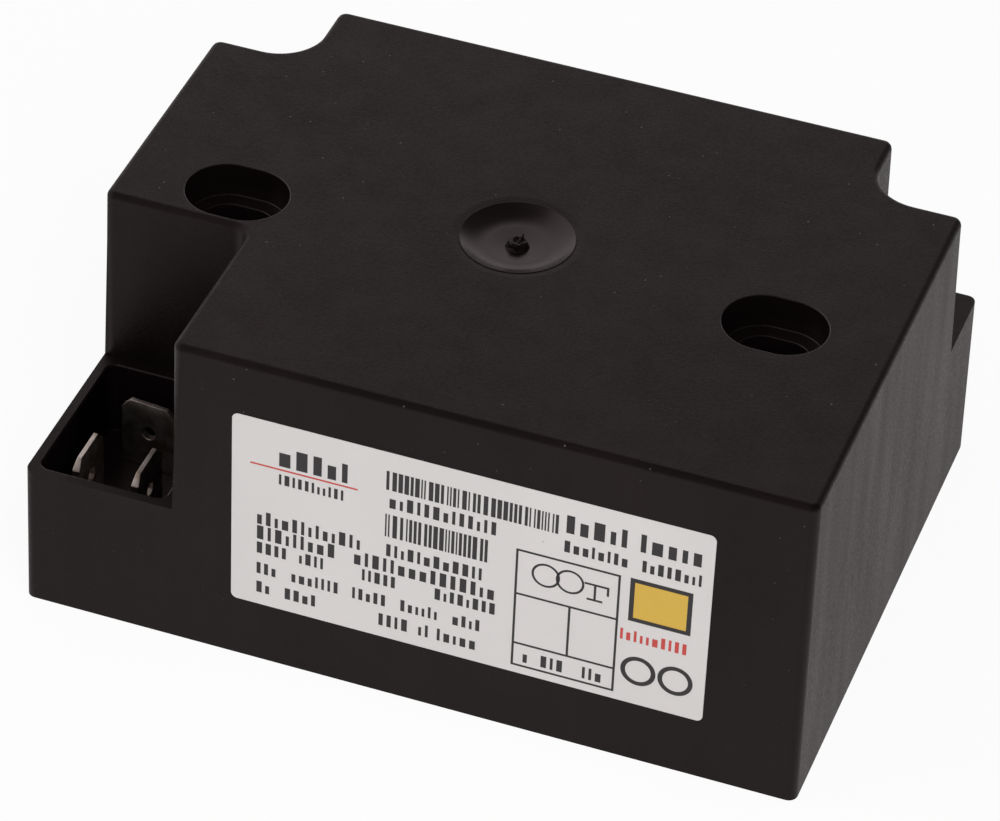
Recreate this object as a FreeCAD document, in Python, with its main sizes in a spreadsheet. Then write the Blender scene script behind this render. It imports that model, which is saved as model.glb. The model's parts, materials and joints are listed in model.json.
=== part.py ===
import FreeCAD, Part
import math
import os

import Sketcher
from FreeCAD import Placement, Rotation, Vector

# Potted electronic ignition transformer, millimetres.
# The origin is the middle of the footprint on the mounting plane, the label faces -Y,
# +X runs along the label from the blade bay, and +Z points away from the mounting plane.

DRIVING_SIZES = [
    # Moulded housing
    ("length", 84.0, "footprint along the label face"),
    ("width", 61.5, "footprint from the label face to the back"),
    ("height", 37.9, "mounting plane to the roof"),
    ("draft_angle", 0.65, "lean of the upright walls, degrees"),
    ("wall", 2.0, "side wall thickness"),
    ("roof", 2.4, "roof thickness"),
    ("corner_round", 1.0, "radius of the upright outer corners"),
    ("top_round", 0.6, "radius round the roof"),
    # Blade bay in the front left corner
    ("bay_length", 16.5, "bay notch along X"),
    ("bay_depth", 21.0, "bay notch along Y"),
    ("bay_rim", 16.8, "height of the bay rim"),
    ("bay_floor", 8.0, "height of the bay floor"),
    ("bay_floor_thickness", 1.5, "thickness of the bay floor"),
    ("bay_lip", 1.35, "wall left round the bay pocket"),
    ("bay_corner", 1.0, "radius in the corners of the bay pocket"),
    ("bay_inner_round", 1.8, "radius where the two bay walls meet"),
    # High voltage steps in the two back corners
    ("step_length", 10.45, "step along X"),
    ("step_depth", 10.1, "step along Y"),
    ("step_height", 20.0, "height of the step"),
    ("step_inner_round", 5.1, "radius where the two step walls meet"),
    ("pin_from_side", 5.75, "pin axis to the end of the footprint"),
    ("pin_from_back", 5.5, "pin axis to the back of the footprint"),
    ("well_radius", 3.5, "bore round the pin"),
    ("well_floor", 7.5, "height of the well floor"),
    ("well_floor_thickness", 2.0, "floor that the pin is pressed into"),
    ("well_wall", 1.5, "tube wall round the well"),
    # Slotted screw holes
    ("slot_from_end", 13.0, "slot centres to the ends of the footprint"),
    ("slot_from_front", 26.3, "slot centres to the label face"),
    ("slot_width", 5.5, "through slot across"),
    ("slot_length", 7.6, "through slot end to end"),
    ("counterbore_width", 8.85, "screw head recess across"),
    ("counterbore_length", 10.9, "screw head recess end to end"),
    ("counterbore_depth", 3.9, "screw head recess below the roof"),
    ("boss_wall", 1.8, "wall round the slots"),
    # Gate dish in the roof
    ("gate_off_centre", 0.25, "dish axis to the middle of the length"),
    ("gate_from_front", 30.1, "dish axis to the label face"),
    ("gate_radius", 5.93, "rim of the dish"),
    ("gate_ring_radius", 3.0, "ring where the bowl turns shallow"),
    ("gate_ring_depth", 1.0, "depth at that ring"),
    ("gate_depth", 1.25, "depth beside the sprue nub"),
    ("gate_bowl_radius", 5.0, "where the steep rim turns into the bowl"),
    ("gate_bowl_depth", 0.55, "depth at that turn"),
    ("nub_radius", 0.85, "sprue nub"),
    ("nub_height", 0.55, "sprue nub above the dish"),
    # Stuck-on label
    ("label_length", 50.7, "label along X"),
    ("label_height", 24.0, "label up the wall"),
    ("label_thickness", 0.12, "film thickness"),
    ("label_round", 1.0, "label corner radius"),
    ("label_from_left", 23.05, "label to the left end of the footprint"),
    ("label_from_base", 7.4, "label to the mounting plane"),
    # Blade terminals
    ("blade_width", 6.3, "blade across"),
    ("blade_thickness", 0.8, "sheet thickness"),
    ("blade_recess", 0.5, "tip below the bay rim"),
    ("blade_corner_across", 1.0, "tip corner cut, across"),
    ("blade_corner_down", 1.1, "tip corner cut, along"),
    ("blade_bevel", 0.15, "tip bevel on each face"),
    ("blade_bevel_length", 0.9, "length of the tip bevel"),
    ("blade_hole_radius", 0.8, "detent hole"),
    ("blade_hole_drop", 3.66, "detent hole below the tip"),
    ("blade_slot_play", 0.1, "room round the blade in the bay floor"),
    ("line_blade_from_left", 4.35, "line blade to the left end"),
    ("blade_spacing", 6.55, "line blade to neutral blade"),
    ("power_blades_from_front", 6.85, "line and neutral blades to the label face"),
    ("earth_blade_from_front", 15.5, "earth blade to the label face"),
    ("earth_blade_turn", 5.4, "turn of the earth blade, degrees"),
    ("shoulder_width", 7.5, "blade shoulder under the bay floor"),
    ("shoulder_height", 1.7, "bay floor underside to the board"),
    ("leg_width", 1.2, "solder leg across"),
    ("leg_spacing", 4.4, "between the two solder legs"),
    ("solder_length", 1.0, "leads below the board"),
    # High voltage pins
    ("pin_radius", 2.0, "plug pin"),
    ("shank_radius", 2.4, "pin shank pressed into the well floor"),
    ("pin_length", 8.0, "plug pin above the well floor"),
    ("pin_tip_round", 0.6, "bevel at the pin tip"),
    ("collar_radius", 3.0, "collar under the well floor"),
    ("collar_height", 2.4, "collar along the pin"),
    # Circuit board and resin
    ("board_thickness", 1.6, "laminate"),
    ("board_play", 0.5, "board edge to the walls"),
    ("resin_recess", 1.0, "resin surface above the mounting plane"),
    # Ferrite core and bobbins
    ("core_leg", 8.0, "square section of the core"),
    ("core_clearance", 1.4, "core to the screw bosses"),
    ("core_corner", 1.0, "radius on the outer corners of the core"),
    ("core_gap", 0.3, "shim between the core halves"),
    ("bobbin_wall", 1.0, "bobbin tube wall"),
    ("primary_flange", 15.2, "primary flange across"),
    ("primary_flange_thickness", 1.2, "primary flange along X"),
    ("foot_arch_width", 9.0, "opening between the feet of a primary flange"),
    ("foot_height", 3.5, "height of the feet"),
    ("secondary_flange", 21.0, "secondary flange across"),
    ("secondary_corner", 2.0, "corner cut of the secondary flanges"),
    ("chamber_count", 4, "winding chambers on each secondary bobbin"),
    ("chamber_ratio", 2.175, "width of a winding chamber over the thickness of its flanges"),
    ("secondary_split", 0.6, "gap between the two secondary bobbins"),
    ("winding_inset", 1.0, "winding below the rim of its flanges"),
    # High voltage and earth leads
    ("lead_radius", 0.9, "insulated lead"),
    ("lead_plug", 1.5, "lead end inside the pin collar"),
    ("lead_rise", 8.0, "lead beside the core leg, from the leg axis"),
    ("earth_lead_width", 0.9, "bare earth lead, drawn square"),
    # Parts on the board
    ("part_clearance", 1.0, "board parts to the label wall"),
    ("row_depth", 10.0, "bulk capacitor from front to back"),
    ("bulk_length", 26.5, "bulk capacitor along X"),
    ("bulk_height", 19.0, "bulk capacitor above the board"),
    ("bulk_pitch", 22.5, "bulk capacitor leads"),
    ("resonance_length", 18.0, "resonance capacitor along X"),
    ("resonance_depth", 8.5, "resonance capacitor from front to back"),
    ("resonance_height", 14.5, "resonance capacitor above the board"),
    ("resonance_pitch", 15.0, "resonance capacitor leads"),
    ("capacitor_edge", 0.8, "rounding of the capacitor cases"),
    ("wire_width", 0.7, "wire leads of the board parts, drawn square"),
    ("varistor_radius", 6.0, "varistor disc"),
    ("varistor_thickness", 4.0, "varistor disc along X"),
    ("varistor_stand", 1.5, "varistor disc above the board"),
    ("varistor_pitch", 7.5, "varistor leads"),
    ("resistor_radius", 2.2, "fuse resistor body"),
    ("resistor_height", 9.5, "fuse resistor body along its axis"),
    ("resistor_stand", 1.0, "fuse resistor body above the board"),
    ("resistor_pitch", 3.6, "fuse resistor body axis to its return lead"),
    ("resistor_from_bay", 1.8, "fuse resistor to the bay wall"),
    ("rectifier_length", 8.5, "rectifier along X"),
    ("rectifier_depth", 6.5, "rectifier from front to back"),
    ("rectifier_height", 3.3, "rectifier above the board"),
    ("rectifier_pitch", 5.1, "rectifier legs along X"),
    ("flat_leg_width", 1.0, "flat legs across"),
    ("flat_leg_thickness", 0.5, "flat legs thick"),
    ("transistor_width", 10.0, "switching transistor along X"),
    ("transistor_depth", 4.4, "switching transistor from front to back"),
    ("transistor_stand", 3.5, "transistor body above the board"),
    ("transistor_body", 9.0, "height of the transistor body"),
    ("transistor_tab_height", 6.0, "metal tab above the body"),
    ("transistor_tab_thickness", 1.3, "metal tab thick"),
    ("transistor_hole_radius", 1.8, "hole in the tab"),
    ("transistor_pitch", 2.54, "transistor legs"),
]

DERIVED_SIZES = [
    # Places of the housing's features
    ("bay_wall_x", "-length / 2 + bay_length"),
    ("bay_wall_y", "-width / 2 + bay_depth"),
    ("step_wall_x", "length / 2 - step_length"),
    ("step_wall_y", "width / 2 - step_depth"),
    ("pin_x", "length / 2 - pin_from_side"),
    ("pin_y", "width / 2 - pin_from_back"),
    ("well_base", "well_floor - well_floor_thickness"),
    ("slot_spacing", "length - 2 * slot_from_end"),
    ("slot_y", "-width / 2 + slot_from_front"),
    ("slot_radius", "slot_width / 2"),
    ("slot_run", "slot_length - slot_width"),
    ("counterbore_radius", "counterbore_width / 2"),
    ("counterbore_run", "counterbore_length - counterbore_width"),
    ("bay_floor_base", "bay_floor - bay_floor_thickness"),
    # Board
    ("board_top", "bay_floor_base - shoulder_height"),
    ("board_base", "board_top - board_thickness"),
    ("board_back", "slot_y - slot_radius - boss_wall - 2 * board_play"),
    # Room inside and the places of the core and its bobbins
    ("inner_front", "-width / 2 + wall"),
    ("inner_right", "length / 2 - wall"),
    ("coil_depth", "primary_flange + secondary_flange"),
    ("spare_depth", "(width - 2 * wall - part_clearance - row_depth - coil_depth) / 3"),
    ("primary_y", "inner_front + part_clearance + row_depth + spare_depth + primary_flange / 2"),
    ("secondary_y", "primary_y + primary_flange / 2 + spare_depth + secondary_flange / 2"),
    ("core_pitch", "secondary_y - primary_y"),
    ("core_y", "(secondary_y + primary_y) / 2"),
    ("core_z", "(board_top + height - roof) / 2"),
    ("core_length", "slot_spacing - slot_length - 2 * boss_wall - 2 * core_clearance"),
    ("core_window", "core_length - 2 * core_leg"),
    ("bobbin_tube", "core_leg + 2 * bobbin_wall"),
    ("secondary_length", "(core_window - secondary_split) / 2"),
    ("secondary_x", "(core_window + secondary_split) / 4"),
    ("secondary_flange_thickness", "secondary_length / (chamber_count * (chamber_ratio + 1) + 1)"),
    ("chamber_width", "chamber_ratio * secondary_flange_thickness"),
    ("chamber_pitch", "chamber_width + secondary_flange_thickness"),
    ("tongue_back", "secondary_y + wall"),
    ("tongue_half", "core_window / 2 + wall"),
    # Places of the parts on the board
    ("row_left", "bay_wall_x + wall"),
    ("row_gap", "(inner_right - row_left - varistor_thickness - resonance_length - bulk_length) / 4"),
    ("varistor_x", "row_left + row_gap + varistor_thickness / 2"),
    ("resonance_x", "varistor_x + varistor_thickness / 2 + row_gap + resonance_length / 2"),
    ("bulk_x", "resonance_x + resonance_length / 2 + row_gap + bulk_length / 2"),
    ("row_front", "inner_front + part_clearance"),
    ("resistor_x", "row_left + resistor_from_bay + resistor_radius"),
    ("resistor_y", "board_back - board_play - resistor_radius"),
    ("transistor_x", "(core_window / 2 + inner_right) / 2"),
    ("transistor_y", "(row_front + row_depth + board_back + board_play) / 2"),
]

X_AXIS = Vector(1, 0, 0)
Z_AXIS = Vector(0, 0, 1)
# Cutting profiles run this far past the faces that they open.
OVERCUT = 5.0

doc = FreeCAD.newDocument("ignition_transformer")
sheet = doc.addObject("Spreadsheet::Sheet", "sizes")


def fill_sheet():
    """Write the driving sizes and then the sizes worked out from them."""
    sheet.set("A1", "size")
    sheet.set("B1", "mm")
    sheet.set("C1", "meaning")
    rows = [(alias, str(size), meaning) for alias, size, meaning in DRIVING_SIZES]
    rows += [(alias, "=" + formula, "worked out") for alias, formula in DERIVED_SIZES]
    for row, (alias, content, meaning) in enumerate(rows, 2):
        sheet.set(f"A{row}", alias)
        sheet.set(f"B{row}", content)
        sheet.set(f"C{row}", meaning)
        sheet.setAlias(f"B{row}", alias)
    doc.recompute()


def number(expression):
    """Present value of an expression in the sheet's names."""
    found = sheet.evalExpression(expression)
    return float(getattr(found, "Value", found))


def bound(expression):
    """The same expression as seen from another object of the document."""
    names = sorted((row[0] for row in DRIVING_SIZES + DERIVED_SIZES), key=len, reverse=True)
    pieces = []
    word = ""
    for mark in expression + " ":
        if mark.isalnum() or mark == "_":
            word += mark
            continue
        pieces.append("sizes." + word if word in names else word)
        pieces.append(mark)
        word = ""
    return "".join(pieces).strip()


def tie(target, field, expression):
    """Bind one property of a document object to the sheet."""
    target.setExpression(field, bound(expression))


# Helpers for bodies and sketches


def new_body(name, across="0", back="0", up="0", turn=0.0, axis=Z_AXIS):
    """Body of one piece, placed by expressions and turned by a fixed angle."""
    body = doc.addObject("PartDesign::Body", name)
    body.Label = name
    body.Placement = Placement(Vector(), Rotation(axis, turn))
    tie(body, "Placement.Base.x", across)
    tie(body, "Placement.Base.y", back)
    tie(body, "Placement.Base.z", up)
    return body


def datum(body, role):
    """Origin plane or axis of a body."""
    return next(feature for feature in body.Origin.OriginFeatures if feature.Role == role)


def new_sketch(body, name, role="XY_Plane", offset="0"):
    """Sketch on an origin plane of its body, moved along the plane's normal."""
    sketch = body.newObject("Sketcher::SketchObject", name)
    sketch.AttachmentSupport = (datum(body, role), [""])
    sketch.MapMode = "FlatFace"
    tie(sketch, ".AttachmentOffset.Base.z", offset)
    return sketch


def hold(sketch, kind, expression, *places):
    """Dimension of a sketch, bound to the sheet."""
    index = sketch.addConstraint(Sketcher.Constraint(kind, *places, number(expression)))
    tie(sketch, f"Constraints[{index}]", expression)


def outline(sketch, corners, bowed=()):
    """Closed outline through corners given as expressions.

    An entry of bowed gives the side that is an arc, its radius and +1 or -1 for the way it bulges.
    """
    bows = {side: (radius, way) for side, radius, way in bowed}
    spots = [Vector(number(across), number(up), 0) for across, up in corners]
    first = sketch.GeometryCount
    for side, (start, end) in enumerate(zip(spots, spots[1:] + spots[:1])):
        if side in bows:
            radius, way = bows[side]
            chord = end - start
            sag = number(radius) - math.sqrt(number(radius) ** 2 - (chord.Length / 2) ** 2)
            normal = Vector(chord.y, -chord.x, 0).normalize() * way
            sketch.addGeometry(Part.Arc(start, (start + end) * 0.5 + normal * sag, end))
        else:
            sketch.addGeometry(Part.LineSegment(start, end))
    for index, (across, up) in enumerate(corners):
        side = first + index
        start_point = start_of(sketch, side, spots[index])
        before = first + (index - 1) % len(corners)
        end_point = 3 - start_of(sketch, before, spots[(index - 1) % len(corners)])
        sketch.addConstraint(Sketcher.Constraint("Coincident", before, end_point, side, start_point))
        hold(sketch, "DistanceX", across, -1, 1, side, start_point)
        hold(sketch, "DistanceY", up, -1, 1, side, start_point)
    for side, (radius, way) in bows.items():
        hold(sketch, "Radius", radius, first + side)
    return sketch


def start_of(sketch, side, spot):
    """Which end of a sketch line or arc lies at a spot: 1 for its start, 2 for its end."""
    return 1 if sketch.getPoint(side, 1).distanceToPoint(spot) < 1e-6 else 2


def rectangle(sketch, left, right, low, high):
    """Rectangle between four expressions."""
    return outline(sketch, [(left, low), (right, low), (right, high), (left, high)])


def centred(sketch, across, up):
    """Rectangle about the sketch origin."""
    return rectangle(sketch, f"-({across}) / 2", f"({across}) / 2", f"-({up}) / 2", f"({up}) / 2")


def leg_at(sketch, across, back, wide, deep):
    """Rectangle about a spot."""
    return rectangle(
        sketch,
        f"{across} - {wide} / 2",
        f"{across} + {wide} / 2",
        f"{back} - {deep} / 2",
        f"{back} + {deep} / 2",
    )


def circle(sketch, across, up, radius):
    """Circle placed and sized by expressions."""
    middle = Vector(number(across), number(up), 0)
    ring = sketch.addGeometry(Part.Circle(middle, Vector(0, 0, 1), number(radius)))
    hold(sketch, "DistanceX", across, -1, 1, ring, 3)
    hold(sketch, "DistanceY", up, -1, 1, ring, 3)
    hold(sketch, "Radius", radius, ring)
    return sketch


def long_slot(sketch, across, up, run, radius):
    """Slot along X: two sides and two half-round ends."""
    left = f"{across} - ({run}) / 2"
    right = f"{across} + ({run}) / 2"
    low = f"{up} - ({radius})"
    high = f"{up} + ({radius})"
    corners = [(left, low), (right, low), (right, high), (left, high)]
    spots = [Vector(number(x), number(y), 0) for x, y in corners]
    tips = [Vector(number(end), number(up), 0) for end in (f"{right} + ({radius})", f"{left} - ({radius})")]
    bottom = sketch.addGeometry(Part.LineSegment(spots[0], spots[1]))
    right_end = sketch.addGeometry(Part.Arc(spots[1], tips[0], spots[2]))
    top = sketch.addGeometry(Part.LineSegment(spots[2], spots[3]))
    left_end = sketch.addGeometry(Part.Arc(spots[3], tips[1], spots[0]))
    for line, line_end, arc, arc_end in (
        (bottom, 2, right_end, 1),
        (top, 1, right_end, 2),
        (top, 2, left_end, 1),
        (bottom, 1, left_end, 2),
    ):
        sketch.addConstraint(Sketcher.Constraint("Tangent", line, line_end, arc, arc_end))
    sketch.addConstraint(Sketcher.Constraint("Horizontal", bottom))
    hold(sketch, "DistanceX", left, -1, 1, left_end, 3)
    hold(sketch, "DistanceY", up, -1, 1, left_end, 3)
    hold(sketch, "DistanceX", right, -1, 1, right_end, 3)
    hold(sketch, "Radius", radius, right_end)
    return sketch


def pad(body, sketch, depth, both_ways=False):
    """Material along the sketch normal."""
    feature = body.newObject("PartDesign::Pad", sketch.Name + "_pad")
    feature.Profile = sketch
    feature.SideType = "Symmetric" if both_ways else "One side"
    tie(feature, "Length", depth)
    doc.recompute()
    return feature


def pocket(body, sketch, depth, upwards=False, both_ways=False):
    """Material taken away against the sketch normal, or along it."""
    volume = body.Shape.Volume
    feature = body.newObject("PartDesign::Pocket", sketch.Name + "_pocket")
    feature.Profile = sketch
    feature.Reversed = upwards
    feature.SideType = "Symmetric" if both_ways else "One side"
    tie(feature, "Length", depth)
    doc.recompute()
    if not feature.Shape.Volume < volume:
        raise RuntimeError(feature.Name + " cuts nothing")
    return feature


def revolve(body, sketch, kind="Revolution", turn=360):
    """Profile turned about the vertical axis of its sketch, as material or as a cut."""
    feature = body.newObject("PartDesign::" + kind, sketch.Name + "_turned")
    feature.Profile = sketch
    feature.ReferenceAxis = (sketch, ["V_Axis"])
    feature.Angle = turn
    doc.recompute()
    return feature


def mirror_left(body, features):
    """Repeat features on the other side of the middle plane."""
    feature = body.newObject("PartDesign::Mirrored", features[-1].Name + "_left")
    feature.Originals = features
    feature.MirrorPlane = (datum(body, "YZ_Plane"), [""])
    body.Tip = feature
    doc.recompute()
    return feature


def row_along_x(body, features, span, count="2"):
    """Repeat features along X over a span."""
    feature = body.newObject("PartDesign::LinearPattern", features[-1].Name + "_row")
    feature.Originals = features
    feature.Direction = (datum(body, "X_Axis"), [""])
    tie(feature, "Length", span)
    tie(feature, "Occurrences", count)
    body.Tip = feature
    doc.recompute()
    return feature


def edge_names(feature, wanted):
    """Names of the edges of a feature that a test accepts."""
    return [f"Edge{index}" for index, edge in enumerate(feature.Shape.Edges, 1) if wanted(edge)]


def is_upright(edge):
    """Edge within a few degrees of Z."""
    return edge.Curve.TypeId == "Part::GeomLine" and abs(edge.tangentAt(edge.FirstParameter).z) > 0.99


def round_edges(body, feature, name, radius, wanted):
    """Fillet the edges that a test accepts."""
    fillet = body.newObject("PartDesign::Fillet", name)
    fillet.Base = (feature, edge_names(feature, wanted))
    tie(fillet, "Radius", radius)
    doc.recompute()
    return fillet


def near(value, expression, room=0.6):
    """Whether a coordinate lies by the value of an expression."""
    return abs(value - number(expression)) < room


def fuse(name, pieces):
    """Union of document objects."""
    union = doc.addObject("Part::MultiFuse", name)
    union.Shapes = pieces
    union.Refine = False
    return union


def cut(name, base, tool, refine=True):
    """One document object less another."""
    result = doc.addObject("Part::Cut", name)
    result.Label = name
    result.Base = base
    result.Tool = tool
    result.Refine = refine
    doc.recompute()
    return result


# Housing


def bay_turn_sketches(body, name, offset, play):
    """One sketch for each blade's passage, in the order line, neutral, earth."""
    long_side = f"blade_width + 2 * ({play})"
    short_side = f"blade_thickness + 2 * ({play})"
    sketches = []
    for blade, turn in (("line", 90.0), ("neutral", 90.0), ("earth", None)):
        sketch = new_sketch(body, f"{name}_{blade}", "XY_Plane", offset)
        tie(sketch, ".AttachmentOffset.Base.x", f"{blade_x(blade)}")
        tie(sketch, ".AttachmentOffset.Base.y", f"{blade_y(blade)}")
        if turn is None:
            tie(sketch, ".AttachmentOffset.Rotation.Angle", "-earth_blade_turn")
        else:
            sketch.AttachmentOffset = Placement(sketch.AttachmentOffset.Base, Rotation(Z_AXIS, turn))
        sketches.append(centred(sketch, long_side, short_side))
    return sketches


def blade_x(blade):
    """Expression for the X of a blade's middle."""
    shift = {"line": "0", "neutral": "blade_spacing", "earth": "blade_spacing / 2"}[blade]
    return f"-length / 2 + line_blade_from_left + {shift}"


def blade_y(blade):
    """Expression for the Y of a blade's middle."""
    front = "earth_blade_from_front" if blade == "earth" else "power_blades_from_front"
    return f"-width / 2 + {front}"


def make_outer_form():
    """Outside of the moulding with its bay, steps, wells, screw slots and gate dish."""
    body = new_body("outer_form")
    block = pad(body, centred(new_sketch(body, "footprint"), "length", "width"), "height")

    bay = new_sketch(body, "bay_notch", "XY_Plane", "height")
    rectangle(bay, f"-length / 2 - {OVERCUT}", "bay_wall_x", f"-width / 2 - {OVERCUT}", "bay_wall_y")
    pocket(body, bay, "height - bay_rim")

    step = new_sketch(body, "step_notch", "XY_Plane", "height")
    rectangle(step, "step_wall_x", f"length / 2 + {OVERCUT}", "step_wall_y", f"width / 2 + {OVERCUT}")
    steps = mirror_left(body, [pocket(body, step, "height - step_height")])

    # Upright walls lean inwards, apart from the two bay walls
    leaning = body.newObject("PartDesign::Draft", "wall_draft")
    leaning.Base = (steps, leaning_faces(steps))
    leaning.NeutralPlane = (datum(body, "XY_Plane"), [""])
    tie(leaning, "Angle", "draft_angle")
    body.Tip = leaning
    doc.recompute()

    inner_steps = round_edges(
        body,
        leaning,
        "step_rounds",
        "step_inner_round",
        lambda edge: is_upright(edge)
        and near(abs(edge.CenterOfMass.x), "step_wall_x")
        and near(edge.CenterOfMass.y, "step_wall_y"),
    )
    inner_bay = round_edges(
        body,
        inner_steps,
        "bay_round",
        "bay_inner_round",
        lambda edge: is_upright(edge)
        and near(edge.CenterOfMass.x, "bay_wall_x")
        and near(edge.CenterOfMass.y, "bay_wall_y"),
    )
    corners = round_edges(body, inner_bay, "corner_rounds", "corner_round", is_upright)
    roof_edges = [edge for face in flat_faces(corners, "height") for edge in face.Edges]
    roofed = round_edges(
        body,
        corners,
        "roof_rounds",
        "top_round",
        lambda edge: any(edge.isSame(found) for found in roof_edges),
    )
    body.Tip = roofed

    # Pocket that the blades stand in
    tray = new_sketch(body, "bay_pocket", "XY_Plane", "bay_rim")
    rectangle(
        tray,
        "-length / 2 + bay_lip",
        "bay_wall_x - bay_lip",
        "-width / 2 + bay_lip",
        "bay_wall_y - bay_lip",
    )
    tray_pocket = pocket(body, tray, "bay_rim - bay_floor")
    middle_x = number("-length / 2 + bay_length / 2")
    middle_y = number("-width / 2 + bay_depth / 2")
    tray_rounds = round_edges(
        body,
        tray_pocket,
        "bay_pocket_rounds",
        "bay_corner",
        lambda edge: is_upright(edge)
        and abs(edge.Length - number("bay_rim - bay_floor")) < 0.01
        and abs(edge.CenterOfMass.x - middle_x) < number("bay_length / 2")
        and abs(edge.CenterOfMass.y - middle_y) < number("bay_depth / 2"),
    )
    body.Tip = tray_rounds
    for passage in bay_turn_sketches(body, "blade_passage", "bay_floor", "blade_slot_play"):
        pocket(body, passage, "2 * bay_floor_thickness")

    # Wells for the plug pins and the press holes in their floors
    well = circle(new_sketch(body, "pin_well", "XY_Plane", "step_height"), "pin_x", "pin_y", "well_radius")
    well_pocket = pocket(body, well, "step_height - well_floor")
    press = circle(new_sketch(body, "pin_hole", "XY_Plane", "well_floor"), "pin_x", "pin_y", "shank_radius")
    press_pocket = pocket(body, press, "2 * well_floor_thickness")
    mirror_left(body, [well_pocket, press_pocket])

    # Screw slots with their head recesses
    left_slot = "-slot_spacing / 2"
    head = new_sketch(body, "head_recess", "XY_Plane", "height")
    long_slot(head, left_slot, "slot_y", "counterbore_run", "counterbore_radius")
    head_pocket = pocket(body, head, "counterbore_depth")
    shank = new_sketch(body, "shank_slot", "XY_Plane", "height")
    long_slot(shank, left_slot, "slot_y", "slot_run", "slot_radius")
    shank_pocket = pocket(body, shank, f"height + {OVERCUT}")
    row_along_x(body, [head_pocket, shank_pocket], "slot_spacing")

    # Gate dish: a steep rim, a bowl that turns shallow at a ring, and the broken sprue nub in its middle
    dish = new_sketch(body, "gate_dish", "XZ_Plane", "-(-width / 2 + gate_from_front)")
    tie(dish, ".AttachmentOffset.Base.x", "gate_off_centre")
    outline(
        dish,
        [
            ("0", f"height + {OVERCUT}"),
            ("0", "height - gate_depth + nub_height"),
            ("nub_radius * 0.7", "height - gate_depth + nub_height"),
            ("nub_radius", "height - gate_depth"),
            ("gate_ring_radius", "height - gate_ring_depth"),
            ("gate_bowl_radius", "height - gate_bowl_depth"),
            ("gate_radius", "height"),
            ("gate_radius", f"height + {OVERCUT}"),
        ],
    )
    volume = body.Shape.Volume
    dish_cut = revolve(body, dish, "Groove")
    if not dish_cut.Shape.Volume < volume:
        raise RuntimeError("the gate dish cuts nothing")
    return body


def leaning_faces(feature):
    """Names of the upright faces of the outside, apart from the two bay walls."""
    names = []
    for index, face in enumerate(feature.Shape.Faces, 1):
        middle = face.CenterOfMass
        on_bay = near(middle.x, "bay_wall_x", 0.01) or near(middle.y, "bay_wall_y", 0.01)
        if abs(face.normalAt(0.5, 0.5).z) < 0.001 and not on_bay:
            names.append(f"Face{index}")
    return names


def flat_faces(feature, level):
    """Level faces of a feature at a height."""
    return [
        face
        for face in feature.Shape.Faces
        if abs(face.BoundBox.ZMin - number(level)) < 1e-4 and abs(face.BoundBox.ZMax - number(level)) < 1e-4
    ]


def make_cavity_form():
    """The whole hollow of the moulding, open at the mounting plane."""
    body = new_body("cavity_form")
    pad(
        body,
        centred(new_sketch(body, "cavity_footprint"), "length - 2 * wall", "width - 2 * wall"),
        "height - roof",
    )

    # The hollow stays one wall away from the bay and from the steps
    bay = new_sketch(body, "bay_block", "XY_Plane", "bay_floor_base")
    rectangle(
        bay, f"-length / 2 - {OVERCUT}", "bay_wall_x + wall", f"-width / 2 - {OVERCUT}", "bay_wall_y + wall"
    )
    pocket(body, bay, "height", upwards=True)
    step = new_sketch(body, "step_block", "XY_Plane", "step_height - wall")
    rectangle(
        step,
        "step_wall_x - wall",
        f"length / 2 + {OVERCUT}",
        "step_wall_y - wall",
        f"width / 2 + {OVERCUT}",
    )
    steps = mirror_left(body, [pocket(body, step, "height", upwards=True)])

    leaning = body.newObject("PartDesign::Draft", "inner_draft")
    names = []
    for index, face in enumerate(steps.Shape.Faces, 1):
        middle = face.CenterOfMass
        on_bay = near(middle.x, "bay_wall_x + wall", 0.01) or near(middle.y, "bay_wall_y + wall", 0.01)
        if abs(face.normalAt(0.5, 0.5).z) < 0.001 and not on_bay:
            names.append(f"Face{index}")
    leaning.Base = (steps, names)
    leaning.NeutralPlane = (datum(body, "XY_Plane"), [""])
    tie(leaning, "Angle", "draft_angle")
    body.Tip = leaning
    doc.recompute()
    rounded = round_edges(
        body,
        leaning,
        "inner_step_rounds",
        "step_inner_round + wall",
        lambda edge: is_upright(edge)
        and near(abs(edge.CenterOfMass.x), "step_wall_x - wall")
        and near(edge.CenterOfMass.y, "step_wall_y - wall"),
    )
    body.Tip = rounded

    # Tubes round the pin wells
    tube = circle(
        new_sketch(body, "well_tube", "XY_Plane", "well_base"), "pin_x", "pin_y", "well_radius + well_wall"
    )
    mirror_left(body, [pocket(body, tube, "height", upwards=True)])

    # Screw bosses: a tube down to the mounting plane under a wider cup for the screw head
    left_slot = "-slot_spacing / 2"
    boss = new_sketch(body, "boss_tube", "XY_Plane", f"-{OVERCUT}")
    long_slot(boss, left_slot, "slot_y", "slot_run", "slot_radius + boss_wall")
    tube_pocket = pocket(body, boss, f"height + 2 * {OVERCUT}", upwards=True)
    cup = new_sketch(body, "boss_cup", "XY_Plane", "height - counterbore_depth - boss_wall")
    long_slot(cup, left_slot, "slot_y", "counterbore_run", "counterbore_radius + boss_wall")
    cup_pocket = pocket(body, cup, "height", upwards=True)
    row_along_x(body, [tube_pocket, cup_pocket], "slot_spacing")
    return body


def make_label():
    """Thin film on the leaning front wall."""
    body = new_body(
        "rating_label",
        "-length / 2 + label_from_left",
        "-width / 2 + label_from_base * tan(draft_angle * 1 deg)",
        "label_from_base",
        axis=X_AXIS,
    )
    tie(body, "Placement.Rotation.Angle", "90 - draft_angle")
    outline_of_film = rectangle(new_sketch(body, "film"), "0", "label_length", "0", "label_height")
    film = pad(body, outline_of_film, "label_thickness")
    round_edges(
        body,
        film,
        "film_corners",
        "label_round",
        lambda edge: abs(edge.Length - number("label_thickness")) < 1e-4,
    )
    return body


# Terminals


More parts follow.
